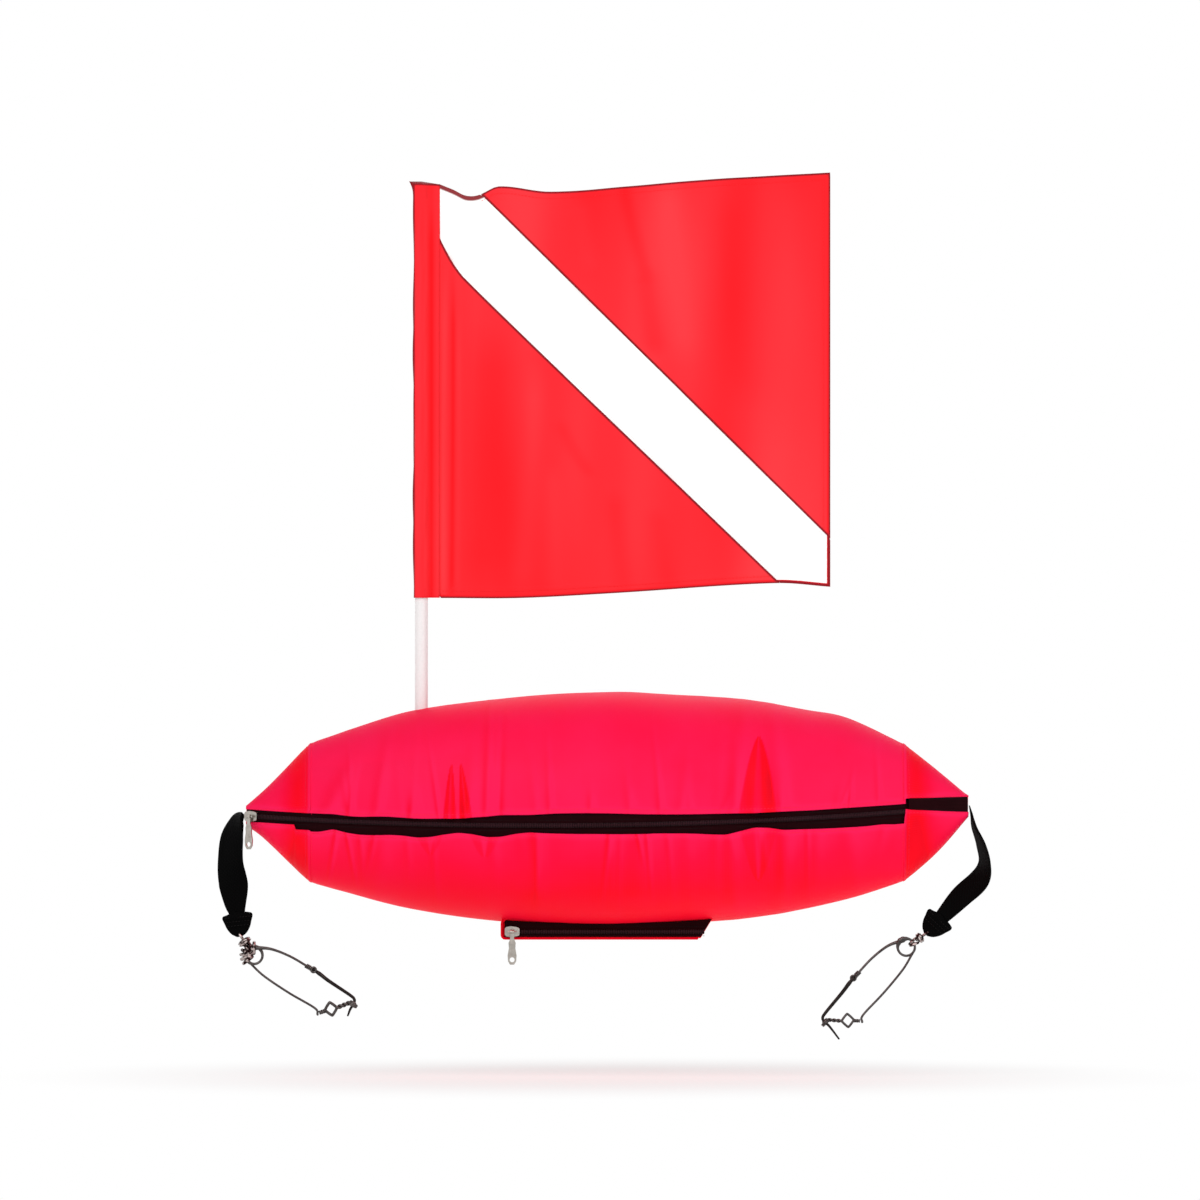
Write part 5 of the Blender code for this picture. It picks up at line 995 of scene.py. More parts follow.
def flag_material(name, low, middle_code, high, edge_code, rim_code):
    """Flag cloth in three shades, picked by upright noise and by painted shade and painted highlight along
    the folds, with the colours of its hems and of its cut rim.
    """
    made, tree = new_material(name)
    _, bump = woven_bump(tree, 1.2 * MM, 0.14, 0.2 * MM)
    border, fold_shade, rim, seam = (node(tree, "Attribute", out="Fac", attribute_name=key)
                               for key in ("border", "fold_shade", "rim", "seam"))
    hem = ranged(tree, border, 1.0, 0.0, HEM_WIDTH, HEM_WIDTH + HEM_FADE)
    place = node(tree, "TexCoord", out="Object")
    # Noise stretched upright: partly random tone, partly painted light and shade in upright bands that follow
    # the folds; the painted fold shade then deepens the red in the folds.
    stretched = node(tree, "Mapping", {"Vector": place, "Scale": (13.0, 13.0, 2.6)})
    cloud = node(tree, "TexNoise", {"Vector": stretched, "Scale": 1.0, "Detail": 1.0}, out="Fac")
    shaded_cloud = math_node(tree, "MULTIPLY_ADD", fold_shade, -0.2, cloud)
    dye_and_painted_shade = ramp(tree, shaded_cloud, ((0.18, low), (0.7, high), (0.5, middle_code)))
    deep = mixed(tree, math_node(tree, "MULTIPLY", hem, 0.06), dye_and_painted_shade, edge_code)
    rimmed = mixed(tree, math_node(tree, "LESS_THAN", rim, RIM_WIDTH), deep, rim_code)
    line = ranged(tree, seam, 0.97, 0.0, SEAM_LINE, SEAM_LINE_FADE)
    surface(tree, {"Roughness": 0.6, "Specular IOR Level": 0.1, "Sheen Weight": 0.03, "IOR": 1.53,
                   "Base Color": mixed(tree, line, rimmed, "86101A"),
                   "Normal": bump_node(tree, hem, 0.25, 0.4 * MM, Normal=bump)})
    return made


flag_red = flag_material("flag_nylon_red", "F60614", "FA2630", "FF363E", "D2101A", "F01822")
flag_white = flag_material("flag_nylon_white", "F6F7F6", "F9FAF9", "FCFDFC", "EFEFEF", "E01420")

fly_end = flag_place(1.0, STRIPE_FLY)
hoist_start = flag_place(0.0, STRIPE_HOIST)
upper_slant = [on_top(STRIPE_TOP), fly_end]
stripe_bends = [flag_place(*pair) for pair in STRIPE_BENDS]
lower_slant = list(rounded([hoist_start, *stripe_bends, on_foot(STRIPE_FOOT)], 3))
upper_hem = [*on_top(np.linspace(STRIPE_TOP, 1, 60)), fly_end]
lower_hem = [hoist_start, *on_foot(np.linspace(0, STRIPE_FOOT, 60))]
stripe_upper = [*on_top(np.linspace(0, STRIPE_TOP, 12)), fly_end, on_foot(1.0)]
stripe_lower = [on_top(0.0), *lower_slant, *on_foot(np.linspace(STRIPE_FOOT, 1, 12))[1:]]
for name, node_name, finish, slot_name, edges, grid, stand, seams, flat, area in (
    ("flag_panel_upper", "flag_upper_panel", flag_red, "flag_red", (upper_slant, upper_hem), (90, 150), 0.0,
     [upper_slant], (0.300, 0.330), 0.0478),
    ("flag_panel_lower", "flag_lower_panel", flag_red, "flag_red", (lower_slant, lower_hem), (90, 150), 0.0,
     [lower_slant], (0.290, 0.310), 0.0436),
    ("flag_white_stripe", "flag_stripe", flag_white, "flag_white", (stripe_upper, stripe_lower), (34, 190),
     -STRIPE_STAND, [], (0.066, 0.500), 0.0290),
):
    panel = settle(flag_cloth(name, *edges, *grid, stand, seams), "flag", node_name, finish)


# Hoist sleeve: the red cloth folded round the pole and sewn down, closed over the pole's top, with a small
# gather at the top corner.
SLEEVE_RADIUS = 7.0 * MM
SLEEVE_REACH = 16.6 * MM
SLEEVE_SEAM = 1.15 * MM
SLEEVE_WALL = 0.5 * MM
SLEEVE_TOP = 533.6 * MM
SLEEVE_OPENING = math.radians(58)
ROUND_SHARE = 0.8
POLE_END = 529.6 * MM
FLARE_START = 516 * MM
FLARE_SHIFT = 3.2 * MM
TOP_DROP = 2.6 * MM
SLEEVE_INSET = 0.2 * MM
TIGHT_LONG, TIGHT_SHORT = 23 * MM, 9 * MM
sleeve_z = np.linspace(FLAG_BOTTOM + SLEEVE_INSET, SLEEVE_TOP, 150)[:, None]
share = np.linspace(0, 1, 57)[None, :-1]
round_part = np.clip(share / ROUND_SHARE, 0, 1)
seam_part = np.clip((share - ROUND_SHARE) / 0.2, 0, 1)
turn = SLEEVE_OPENING + round_part * (math.tau - 2 * SLEEVE_OPENING)
tight = 1 + 0.05 * np.sin(sleeve_z / TIGHT_LONG + 3 * turn) + 0.04 * np.sin(sleeve_z / TIGHT_SHORT - 5 * turn)
reach = np.clip(np.minimum(seam_part, 1 - seam_part) * 2, 0, 1)
edge_x, edge_y = SLEEVE_RADIUS * math.cos(SLEEVE_OPENING), SLEEVE_RADIUS * math.sin(SLEEVE_OPENING)
flat_x = edge_x + reach * (SLEEVE_REACH - edge_x)
flat_y = np.where(seam_part < 0.5, -1, 1) * (SLEEVE_SEAM + (edge_y - SLEEVE_SEAM) * (1 - reach) ** 2.2)
sleeve_x = np.where(share > ROUND_SHARE, flat_x, SLEEVE_RADIUS * tight * np.cos(turn))
sleeve_y = np.where(share > ROUND_SHARE, flat_y, SLEEVE_RADIUS * tight * np.sin(turn))
topping = np.clip((sleeve_z - POLE_END) / (SLEEVE_TOP - POLE_END), 0, 1)
flare = np.clip((sleeve_z - FLARE_START) / (SLEEVE_TOP - FLARE_START), 0, 1) ** 3
points = np.stack([POLE_PLACE + sleeve_x - FLARE_SHIFT * flare * (sleeve_x < 0),
                   sleeve_y * (1 - topping) ** 0.5, sleeve_z + 0 * sleeve_x], axis=-1)
beside = (points[..., 0] - POLE_PLACE) / MM
points[..., 2] -= TOP_DROP * topping * np.clip((points[..., 0] - POLE_PLACE) / SLEEVE_REACH, 0, 1)
# Dark lines: the sewn seam, the closed top, and a painted shade line along the left edge where the sleeve
# turns away from view.
seam_and_edge_shade_far = np.minimum.reduce([
    np.abs(points[..., 0] - POLE_PLACE - SLEEVE_REACH) + 1.5 * MM,
    SLEEVE_TOP - sleeve_z - 1.3 * MM + 0 * beside, np.maximum(beside + 7.5, 0.7) * MM])
# Painted shadow in the valley where the sleeve leaves the pole, painted shade along its turned-away left edge
# and a faint painted shade over the pole, all weaker at the top.
sleeve_shadow = sum(red * np.exp(-((beside - place) / width) ** 2)
                  for red, place, width in ((1.9, 8.4, 2.8), (1.1, -7.2, 1.3), (0.35, 1.0, 1.8)))
sleeve_marks = {"border": points[..., 2] - FLAG_BOTTOM, "seam": seam_and_edge_shade_far, "rim": 0 * seam_and_edge_shade_far + 1,
                "fold_shade": sleeve_shadow * np.clip((0.53 - points[..., 2]) / 0.05, 0.3, 1)}
sleeve = grid_object("flag_hoist_sleeve", points, (POLE_PLACE, 0, 0.35), sleeve_marks, loop=True,
                     thickness=SLEEVE_WALL)
settle(sleeve, "flag", "flag_sleeve", flag_red)

HEM_SHARE = 0.0165
FLY_SHARE = 0.983
FLAG_STITCH = 3.0 * MM
flag_lines, white_lines = [], []
for lift, line in (
    (0.35, [on_top(share, HEM_SHARE) for share in np.linspace(0.11, FLY_SHARE, 80)]),
    (0.35, [on_foot(share, HEM_SHARE) for share in np.linspace(0.01, 0.85, 80)]),
    (0.35, [flag_place(FLY_SHARE, share) for share in np.linspace(0.17, 1.0, 60)]),
    (1.45, [flag_place(-0.008, share) for share in np.linspace(0.01, 0.985, 80)]),
):
    line = np.array(line)
    line[:, 1] = hang(line) - lift * MM
    flag_lines.append(line)
for slant, apart in ((upper_slant, -1), (lower_slant, 1)):
    line = resampled(slant, 160) + np.array([1, 0, 1]) * apart * 1.6 * MM
    line[:, 1] = hang(line) - 0.75 * MM
    white_lines.append(line[3:-3])
FLAG_STITCH_SIZES = (2.3 * MM, 0.4 * MM, 0.3 * MM)
STRIPE_STITCH_SIZES = (2.3 * MM, 0.45 * MM, 0.35 * MM)
flag_thread = thread_material("bonded_thread_flag", "FF2C35")
white_thread = thread_material("bonded_thread_white", "FAFAF8")
bead_run("flag_hem_stitches", flag_lines, FLAG_STITCH, FLAG_STITCH_SIZES, flag_thread, "flag")
bead_run("flag_stripe_stitches", white_lines, FLAG_STITCH, STRIPE_STITCH_SIZES, white_thread, "flag")


# Keel pocket: a red nylon tray sewn under the belly for the ballast, bound with a rolled red edge, and
# closed at the front by a short black zip. Its right end leans in.
POCKET_LEFT = -90.5 * MM
POCKET_RIGHT = 79.5 * MM
POCKET_LEAN = 0.6
POCKET_LOW = -112.5 * MM
POCKET_HIGH = -90.0 * MM
POCKET_FACE = 25.6 * MM
POCKET_ZIP = -105.6 * MM
POCKET_ROUND = 0.22
KEEL_STAND, KEEL_RIPPLE = 0.9 * MM, 0.35 * MM
POCKET_END_INSET = 0.8 * MM
POCKET_SIDE_INSET, POCKET_SIDE_RIPPLE = 0.5 * MM, 0.3 * MM
POCKET_MARGIN = 3 * MM
BINDING_RADIUS = 1.1 * MM
TAPE_FOOT = -110.2 * MM
TAPE_HEAD = -92.0 * MM


def belly_height(x, y):
    """Height of the cover's underside over a point of the plan."""
    front = zip_line(x)
    reach = outline_height(-1, x) - HEM_BODY
    share = np.clip(np.asarray(y) / front[..., 1], -0.999, 0.999)
    return front[..., 2] - HEM_BODY - reach * np.sqrt(1 - share ** 2)


def squared(turn, power):
    """Cosines and sines of a rounded square; a small power gives sharp corners."""
    return tuple(np.sign(wave) * np.abs(wave) ** power for wave in (np.cos(turn), np.sin(turn)))


def capped(rings):
    """Rings of points with a closing point, as often as a ring has points, at each end."""
    first, last = (end.mean(axis=1, keepdims=True) + 0 * end for end in (rings[:1], rings[-1:]))
    return np.concatenate([first, rings, last])


corner_y, corner_z = squared(np.linspace(0, math.tau, 56, endpoint=False)[None, :], POCKET_ROUND)
along = np.linspace(0, 1, 70)[:, None]
ease = np.clip(np.minimum(along, 1 - along) / 0.02, 0, 1) ** 0.5
low = POCKET_LOW + KEEL_STAND + KEEL_RIPPLE * np.sin(along * 21) * (1 - corner_y ** 2)
z = (POCKET_HIGH + low) / 2 + corner_z * (POCKET_HIGH - low) / 2
start_x = POCKET_LEFT + POCKET_END_INSET
x = start_x + (POCKET_RIGHT + (z - POCKET_LOW) * POCKET_LEAN - POCKET_END_INSET - start_x) * along
bowed = POCKET_FACE - POCKET_SIDE_INSET + POCKET_SIDE_RIPPLE * np.sin(along * 34 + corner_z)
y = corner_y * bowed * (0.97 + 0.03 * ease)
rings = np.stack([x, y, z], axis=-1)
centres = [end.mean(axis=1, keepdims=True) for end in (rings[:1], rings[-1:])]
rings = capped(np.concatenate([centres[0] + (rings[:1] - centres[0]) * 0.6, rings,
                               centres[1] + (rings[-1:] - centres[1]) * 0.6]))
# The pocket takes a deep red from the painted sheen-and-shade scale.
pocket = grid_object("pocket_cloth", rings, (-5 * MM, 0, -100 * MM), {"painted_shading": 0.8 + 0 * rings[..., 0]},
                     loop=True)
settle(pocket, "float_body", "pocket_tray", cover_nylon)


def tube_grid(path, radius, sides, closed):
    """Rings of points round a path, carried along it without twist."""
    ahead = np.roll(path, -1, axis=0) - np.roll(path, 1, axis=0) if closed else np.gradient(path, axis=0)
    ahead = ahead / np.maximum(np.linalg.norm(ahead, axis=1, keepdims=True), 1e-12)
    side = np.cross(ahead[0], [0.0, 1.0, 0.0])
    if np.linalg.norm(side) < 0.2:
        side = np.cross(ahead[0], [0.0, 0.0, 1.0])
    rings = []
    turn = np.linspace(0, math.tau, sides, endpoint=False)
    for i, point in enumerate(path):
        side = side - ahead[i] * side.dot(ahead[i])
        side = side / np.linalg.norm(side)
        across = np.cross(ahead[i], side)
        rings.append(point + radius[i] * (np.outer(np.cos(turn), side) + np.outer(np.sin(turn), across)))
    return np.array(rings)


WIRE_SIDES = 12


def wires_object(name, wires, finish, matrix=None):
    """One object of several round wires, each a (path, radius, closed) with its ends rounded off."""
    verts, faces = [], []
    for path, radius, closed in wires:
        path = np.array([tuple(point) for point in path], float)
        sizes = np.zeros(len(path)) + radius
        if not closed:
            first, last = path[0], path[-1]
            back = sizes[0] * (path[1] - first) / np.linalg.norm(path[1] - first)
            on = sizes[-1] * (path[-2] - last) / np.linalg.norm(path[-2] - last)
            path = np.concatenate([[first - back * 0.9, first - back * 0.55], path,
                                   [last - on * 0.55, last - on * 0.9]])
            sizes = np.concatenate([sizes[:1] * 0.25, sizes[:1] * 0.8, sizes,
                                    sizes[-1:] * 0.8, sizes[-1:] * 0.25])
        first_index, count = len(verts), len(path)
        verts += tube_grid(path, sizes, WIRE_SIDES, closed).reshape(-1, 3).tolist()
        for i in range(count if closed else count - 1):
            for j in range(WIRE_SIDES):
                k, m = (i + 1) % count, (j + 1) % WIRE_SIDES
                faces.append([first_index + a * WIRE_SIDES + b for a, b in ((i, j), (i, m), (k, m), (k, j))])
        if not closed:
            faces.append([first_index + j for j in range(WIRE_SIDES)][::-1])
            faces.append([first_index + (count - 1) * WIRE_SIDES + j for j in range(WIRE_SIDES)])
    mesh = bpy.data.meshes.new(name)
    mesh.from_pydata(verts, [], faces)
    if matrix is not None:
        mesh.transform(matrix)
    face_out(mesh)
    mesh.shade_smooth()
    mesh.materials.append(finish)
    return add_object(name, mesh)


def face_out(mesh, merge=None):
    """Turns a mesh's faces outward, with its points merged first where a distance is given."""
    shape = bmesh.new()
    shape.from_mesh(mesh)
    if merge:
        bmesh.ops.remove_doubles(shape, verts=shape.verts, dist=merge)
    bmesh.ops.recalc_face_normals(shape, faces=shape.faces)
    shape.to_mesh(mesh)
    shape.free()


front_y = -POCKET_FACE - 0.35 * MM
corner = resampled([(POCKET_LEFT + 4 * MM, front_y, -94.5 * MM), (start_x, front_y, -98 * MM),
                    (start_x, front_y, POCKET_LOW + 3 * MM),
                    (POCKET_LEFT + 2.5 * MM, front_y, POCKET_LOW + 1.1 * MM),
                    (POCKET_RIGHT - 3 * MM, front_y, POCKET_LOW + 1.1 * MM)], 120)
binding = wires_object("pocket_binding", [(corner, BINDING_RADIUS, False)], cover_nylon)
# The binding takes a deeper red from the painted sheen-and-shade scale.
made = binding.data.attributes.new("painted_shading", "FLOAT", "POINT")
made.data.foreach_set("value", np.full(len(binding.data.vertices), 0.9, np.float32))
binding.data.uv_layers.new(name="cloth")
settle(binding, "float_body")

BELLY_GAP = 0.3 * MM
RIPPLE, RIPPLE_RUN, RIPPLE_START = 0.25 * MM, 13 * MM, 4 * MM
POCKET_TAPE_STAND, POCKET_TAPE_WALL = 0.55 * MM, 0.5 * MM
POCKET_COIL_STAND = 1.25 * MM
run = np.linspace(0, 1, 120)[None, :]
share = np.linspace(0, 1, 10)[:, None]
belly_x = POCKET_LEFT + POCKET_MARGIN + run * 175 * MM
belly = np.minimum(belly_height(belly_x, -POCKET_FACE + 0 * belly_x) - BELLY_GAP, TAPE_HEAD)
for half, low, top in (("lower", TAPE_FOOT, POCKET_ZIP - TAPE_GAP), ("upper", POCKET_ZIP + TAPE_GAP, belly)):
    z = low + (top - low) * share + 0 * run
    right = POCKET_RIGHT + (z - POCKET_LOW) * POCKET_LEAN - 1.2 * MM
    x = POCKET_LEFT + POCKET_MARGIN + run * (right - POCKET_LEFT - POCKET_MARGIN)
    wavy = RIPPLE * np.sin(x / RIPPLE_RUN) * np.clip(np.abs(z - POCKET_ZIP) / RIPPLE_START, 0, 1)
    points = np.stack([x, -POCKET_FACE - POCKET_TAPE_STAND - wavy, z], axis=-1)
    tape = grid_object("pocket_tape_" + half, points, (0, 0, -100 * MM), thickness=POCKET_TAPE_WALL)
    settle(tape, "float_body", "pocket_zip_tape_" + half, tape_weave)
coil_run = np.linspace(POCKET_LEFT + 4 * MM, POCKET_RIGHT + 2.5 * MM, 60)
line = np.stack([coil_run, np.full(60, -POCKET_FACE - POCKET_COIL_STAND), np.full(60, POCKET_ZIP)], axis=-1)
bead_run("pocket_coil_loops", [line], COIL_PITCH, COIL_SIZES, coil_nylon, "float_body",
         "pocket_zip_coil")
lines = [line + np.array([0, -0.66 * MM, side * COIL_STITCH_OFF]) for side in (-1, 1)]
lines += [line + np.array([0, 0.55 * MM, side]) for side in (-3.6 * MM, 4.4 * MM)]
bead_run("pocket_tape_stitches", lines, TAPE_STITCH, TAPE_STITCH_SIZES, black_thread, "float_body")


# Straps: 25 mm black nylon webbing, sewn into each tip and eased down to the swivel. It leaves the tip edge
# on and turns its face to the front as it drops; its end is folded and sewn into a thick lobe.
WEBBING_WIDTH = 25 * MM
WEBBING_WALL = 1.8 * MM
STRAP_DROP = 88 * MM
STRAP_SIDES = 40
BUNCH_WALLS = {"left": 7.5 * MM, "right": 0.0}
BUNCH_REACH = 12 * MM
webbing, tree = new_material("woven_nylon_webbing")
weave = cloth_weave(tree, 1.6 * MM, ("X", "DIAGONAL"), (0.4, 0.6))
surface(tree, {"Roughness": 0.7, "Specular IOR Level": 0.04,
               "Base Color": mixed(tree, weave, "000000", "040304"),
               "Normal": bump_node(tree, weave, 0.7, 0.5 * MM)})

# (across, down, width share, twist in turns) as shares of the drop
STRAP_SHARES = {
    "left": ((0.000, 0.000, 0.80, 0.0), (-0.062, 0.060, 0.88, 0.078), (-0.123, 0.215, 1.00, 0.14),
             (-0.138, 0.460, 1.00, 0.17), (-0.109, 0.672, 1.00, 0.24), (-0.092, 0.847, 0.76, 0.25),
             (-0.075, 0.944, 0.55, 0.25)),
    "right": ((0.000, 0.000, 0.60, 0.0), (0.024, 0.100, 0.70, 0.004), (0.048, 0.218, 0.80, 0.025),
              (0.112, 0.382, 0.95, 0.045), (0.146, 0.557, 1.00, 0.06), (0.090, 0.722, 0.95, 0.13),
              (-0.085, 0.885, 0.80, 0.18), (-0.266, 1.080, 0.52, 0.23)),
}
LOBE_ANGLES = {"left": math.radians(-84), "right": math.radians(-133)}
SWIVEL_ANGLES = {"left": math.radians(-56), "right": math.radians(-145)}
CLIP_ANGLES = {"left": math.radians(-32), "right": math.radians(-131.4)}
LOBE_LENGTH = 19.6 * MM
LOBE_WIDTH = 25.5 * MM
LOBE_WALL = 3.0 * MM
LOBE_HOLE_EDGE = 2.9 * MM
LOBE_START = -0.10
LOBE_SHARES = ((LOBE_START, 0.26), (-0.06, 0.44), (0, 0.50), (0.10, 0.51), (0.30, 0.46), (0.6, 0.38),
               (0.86, 0.24), (1.0, 0.08))
LOBE_ROWS = (0.14, 0.32, 0.5)
LOBE_STITCH_LIFT = 0.45 * MM
LOBE_RIPPLE, LOBE_SKEW = 0.35 * MM, 1.1 * MM
RIB_DEPTH = 0.10 * MM
PINCH_REACH, FOLD_REACH = 24 * MM, 9 * MM
LOBE_STITCH = 2.4 * MM
LOBE_STITCH_SIZES = (2.0 * MM, 0.5 * MM, 0.45 * MM)
WEBBING_CORNER, LOBE_CORNER, ANCHOR_CORNER = 0.4, 0.55, 0.35
MERGE = 1e-7
GAP = 0.3 * MM


def smooth_run(knots, steps=12):
    """Points of a smooth curve through knots, with the same number of steps in each span."""
    knots = [np.array(tuple(knot), float) for knot in knots]
    path = []
    for i in range(len(knots) - 1):
        start, end = knots[i], knots[i + 1]
        before = knots[i - 1] if i > 0 else start * 2 - end
        after = knots[i + 2] if i < len(knots) - 2 else end * 2 - start
        for step in range(steps):
            t = step / steps
            path.append((2 * t ** 3 - 3 * t ** 2 + 1) * start + (t ** 3 - 2 * t ** 2 + t) * (end - before) / 2
                        + (3 * t ** 2 - 2 * t ** 3) * end + (t ** 3 - t ** 2) * (after - start) / 2)
    path.append(knots[-1])
    return np.array(path)


def direction(angle):
    """A unit direction in the XZ plane."""
    return np.array([math.cos(angle), 0, math.sin(angle)])


def direction_frame(place, angle):
    """Local X points along a direction in the XZ plane, local Y stays world Y."""
    return Matrix.Translation(place) @ Matrix.Rotation(-angle, 4, "Y")


def moved(matrix, points):
    """Points carried by a matrix."""
    flat = np.array(matrix)
    return points @ flat[:3, :3].T + flat[:3, 3]


holes = {}
turn = np.linspace(0, math.tau, STRAP_SIDES, endpoint=False)
for name, end in (("left", -1), ("right", 1)):
    tip = zip_line(end * HALF_LENGTH)
    root = np.array([tip[0] + end * (GAP + 0.8 * MM), 0, tip[2]])
    path = smooth_run([root + STRAP_DROP * np.array([across, 0, -down])
                       for across, down, _, _ in STRAP_SHARES[name]])
    extras = smooth_run([(width, twist, 0) for _, _, width, twist in STRAP_SHARES[name]])
    ahead = np.gradient(path, axis=0)
    ahead /= np.linalg.norm(ahead, axis=1, keepdims=True)
    normal = np.stack([ahead[:, 2], 0 * ahead[:, 0], -ahead[:, 0]], axis=-1)
    twist = extras[:, 1:2] * math.tau
    wide = np.array([[0, 1, 0]]) * np.cos(twist) + normal * np.sin(twist)
    thick = np.cross(ahead, wide)
    flat, lift = (wave[None, :] for wave in squared(turn, WEBBING_CORNER))
    across = flat * WEBBING_WIDTH / 2 * np.minimum(extras[:, 0:1], 1.0)
    pleat = np.clip((1.0 - extras[:, 0:1]) / 0.4, 0, 1) * 1.1 * MM * np.cos(flat * 5.5)
    rib = RIB_DEPTH * np.cos(flat * math.pi * 8)
    run_down = np.concatenate([[0], np.cumsum(np.linalg.norm(np.diff(path, axis=0), axis=1))])[:, None]
    bunch = end * BUNCH_WALLS[name] / 2 * np.exp(-(run_down / BUNCH_REACH) ** 2)
    pinch = np.clip(0.4 + run_down / PINCH_REACH, 0, 1)
    out = lift * (WEBBING_WALL / 2 + rib) * pinch + bunch * np.clip(1.4 * end * lift, 0, 1)
    out = out + pleat * 0.6 * np.clip(run_down / FOLD_REACH, 0.1, 1)
    points = path[:, None] + wide[:, None] * across[..., None] + thick[:, None] * out[..., None]
    reach = run_down + 0 * across
    uv = [np.concatenate([part[:1], part, part[-1:]]) for part in (across, reach)]
    strap = grid_object("webbing_strap_" + name, capped(points), tuple(path[len(path) // 2]), loop=True,
                        uv=uv)
    face_out(strap.data, MERGE)
    settle(strap, "strap_" + name, "strap_" + name, webbing)

    lobe_dir = direction(LOBE_ANGLES[name])
    lobe_place = path[-1] + lobe_dir * GAP * 3
    holes[name] = Vector(lobe_place + lobe_dir * (LOBE_LENGTH - LOBE_HOLE_EDGE))
    down = np.linspace(LOBE_START, 1.0, 44)[:, None]
    flat, lift = (wave[None, :] for wave in squared(turn, LOBE_CORNER))
    bulge = 1 + 0.35 * np.exp(-((down - 0.22) / 0.12) ** 2) + 0.12 * np.sin(down * 17)
    fold_line = LOBE_RIPPLE * np.cos(flat * 4 + down * 6)
    local_x = down * LOBE_LENGTH + LOBE_SKEW * (flat ** 2 + 0.5 * np.sin(flat * 5)) * (1 - down)
    local_y = lift * (LOBE_WALL / 2 * bulge + fold_line * np.clip(1 - down, 0, 1))
    local_z = flat * (LOBE_WIDTH * smooth_value(LOBE_SHARES, down[:, 0])[:, None])
    local = capped(np.stack([local_x + 0 * local_z, local_y, local_z], axis=-1))
    matrix = direction_frame(Vector(lobe_place), LOBE_ANGLES[name])
    lobe = grid_object("webbing_lobe_" + name, moved(matrix, local), tuple(lobe_place), loop=True,
                       uv=(local[..., 2], local[..., 0]))
    face_out(lobe.data, MERGE)
    settle(lobe, "strap_" + name, "strap_fold_" + name, webbing)
    rows = []
    for row in LOBE_ROWS:
        half = LOBE_WIDTH * float(smooth_value(LOBE_SHARES, row)) * 0.78
        for face in (-1, 1):
            rows.append(moved(matrix, np.stack([
                np.full(20, row * LOBE_LENGTH), np.full(20, face * (LOBE_WALL / 2 + LOBE_STITCH_LIFT)),
                np.linspace(-half, half, 20)], axis=-1)))
    bead_run("webbing_stitches_" + name, rows, LOBE_STITCH, LOBE_STITCH_SIZES, black_thread, "strap_" + name)

    anchor_low, anchor_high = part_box("strap_anchor_" + name)
    centre, half = (anchor_low + anchor_high) / 2, (anchor_high - anchor_low) / 2
    along = np.linspace(-1, 1, 20)[:, None]
    round_off = (1 - np.abs(along) ** 10) ** 0.5
    flat, lift = (wave[None, :] for wave in squared(turn, ANCHOR_CORNER))
    ribbed = 1 + 0.02 * np.sin(flat * 20)
    points = np.stack([centre.x + along * half.x + 0 * flat, centre.y + flat * half.y * round_off * ribbed,
                       centre.z + lift * half.z * round_off], axis=-1)
    anchor = grid_object("webbing_anchor_" + name, points, tuple(centre), loop=True,
                         uv=(points[..., 1], points[..., 0]))
    settle(anchor, "float_body", "strap_anchor_" + name, webbing)


# Swivels: a small turned barrel between two eyes of bent wire, so that the clip can spin on the strap.
# Stainless wire and steel: grey, drawn smooth, with darker lines where salt has dulled it.
def wire_material(name, dull, clean):
    """Bare steel wire between a dull and a clean shade."""
    made, tree = new_material(name)
    stain_and_glint = object_noise(tree, 380.0, 3.0)
    surface(tree, {"Metallic": 1.0, "Base Color": mixed(tree, stain_and_glint, dull, clean),
                   "Roughness": ranged(tree, stain_and_glint, 0.24, 0.5)})
    return made


steel = wire_material("drawn_stainless_wire", "141212", "6E6866")
gate_steel = wire_material("oil_blacked_wire", "080707", "3C3735")
SWIVEL_WIRE = 1.15 * MM
EYE_TURNS = {"left": (-35, -13, 9, 31, 52, 73, 94), "right": (-14, 10)}
WIRE_SHARES = {"left": 1.3, "right": 1.0}
LOOP_RADII = {"left": 4.6 * MM, "right": 3.5 * MM}
LOOP_SHIFTS = {"left": 0.9 * MM, "right": 0}
EYE_SPREAD = 4.1 * MM
STRAP_EYE = 3.1 * MM
CLIP_EYE = 3.5 * MM
BARREL_LENGTH = 4.4 * MM
BARREL_RADII = {"left": 6.0 * MM, "right": 4.6 * MM}
BARREL_START = STRAP_EYE * 2
BARREL_END = BARREL_START + BARREL_LENGTH
CLIP_EYE_CENTRE = BARREL_END + GAP + 0.8 * MM + CLIP_EYE
CLIP_COIL_RADIUS = 7.3 * MM
COIL_CENTRE = CLIP_EYE_CENTRE + CLIP_COIL_RADIUS
BARREL_SHARES = ((0.30, -0.12), (0.55, -0.10), (0.74, 0.02), (0.98, 0.20), (1.0, 0.42), (0.86, 0.47),
                 (0.86, 0.53), (1.0, 0.58), (0.98, 0.80), (0.74, 0.98), (0.55, 1.10), (0.34, 1.12))


def eye_path(centre_x, radius, spread):
    """A closed eye of wire in the swivel's own frame, as wide across as spread says."""
    turn = np.linspace(0, math.tau, 40, endpoint=False)
    return np.stack([centre_x + radius * np.cos(turn), spread * np.sin(turn), 0 * turn], axis=-1)


# Swivel plate: bright nickel over brass with a fine knurl-like bump, mottled dark brown and bright as painted
# shade and painted reflections.
swivel_plate, tree = new_material("nickel_plate_painted_glints")
stain_and_glint = object_noise(tree, 330.0, 2.0)
surface(tree, {"Metallic": 1.0, "Roughness": 0.3,
               "Base Color": ramp(tree, stain_and_glint, ((0.42, "1E0E0E"), (0.62, "BEB0AC"))),
               "Normal": bump_node(tree, stain_and_glint, 0.4, 0.3 * MM)})

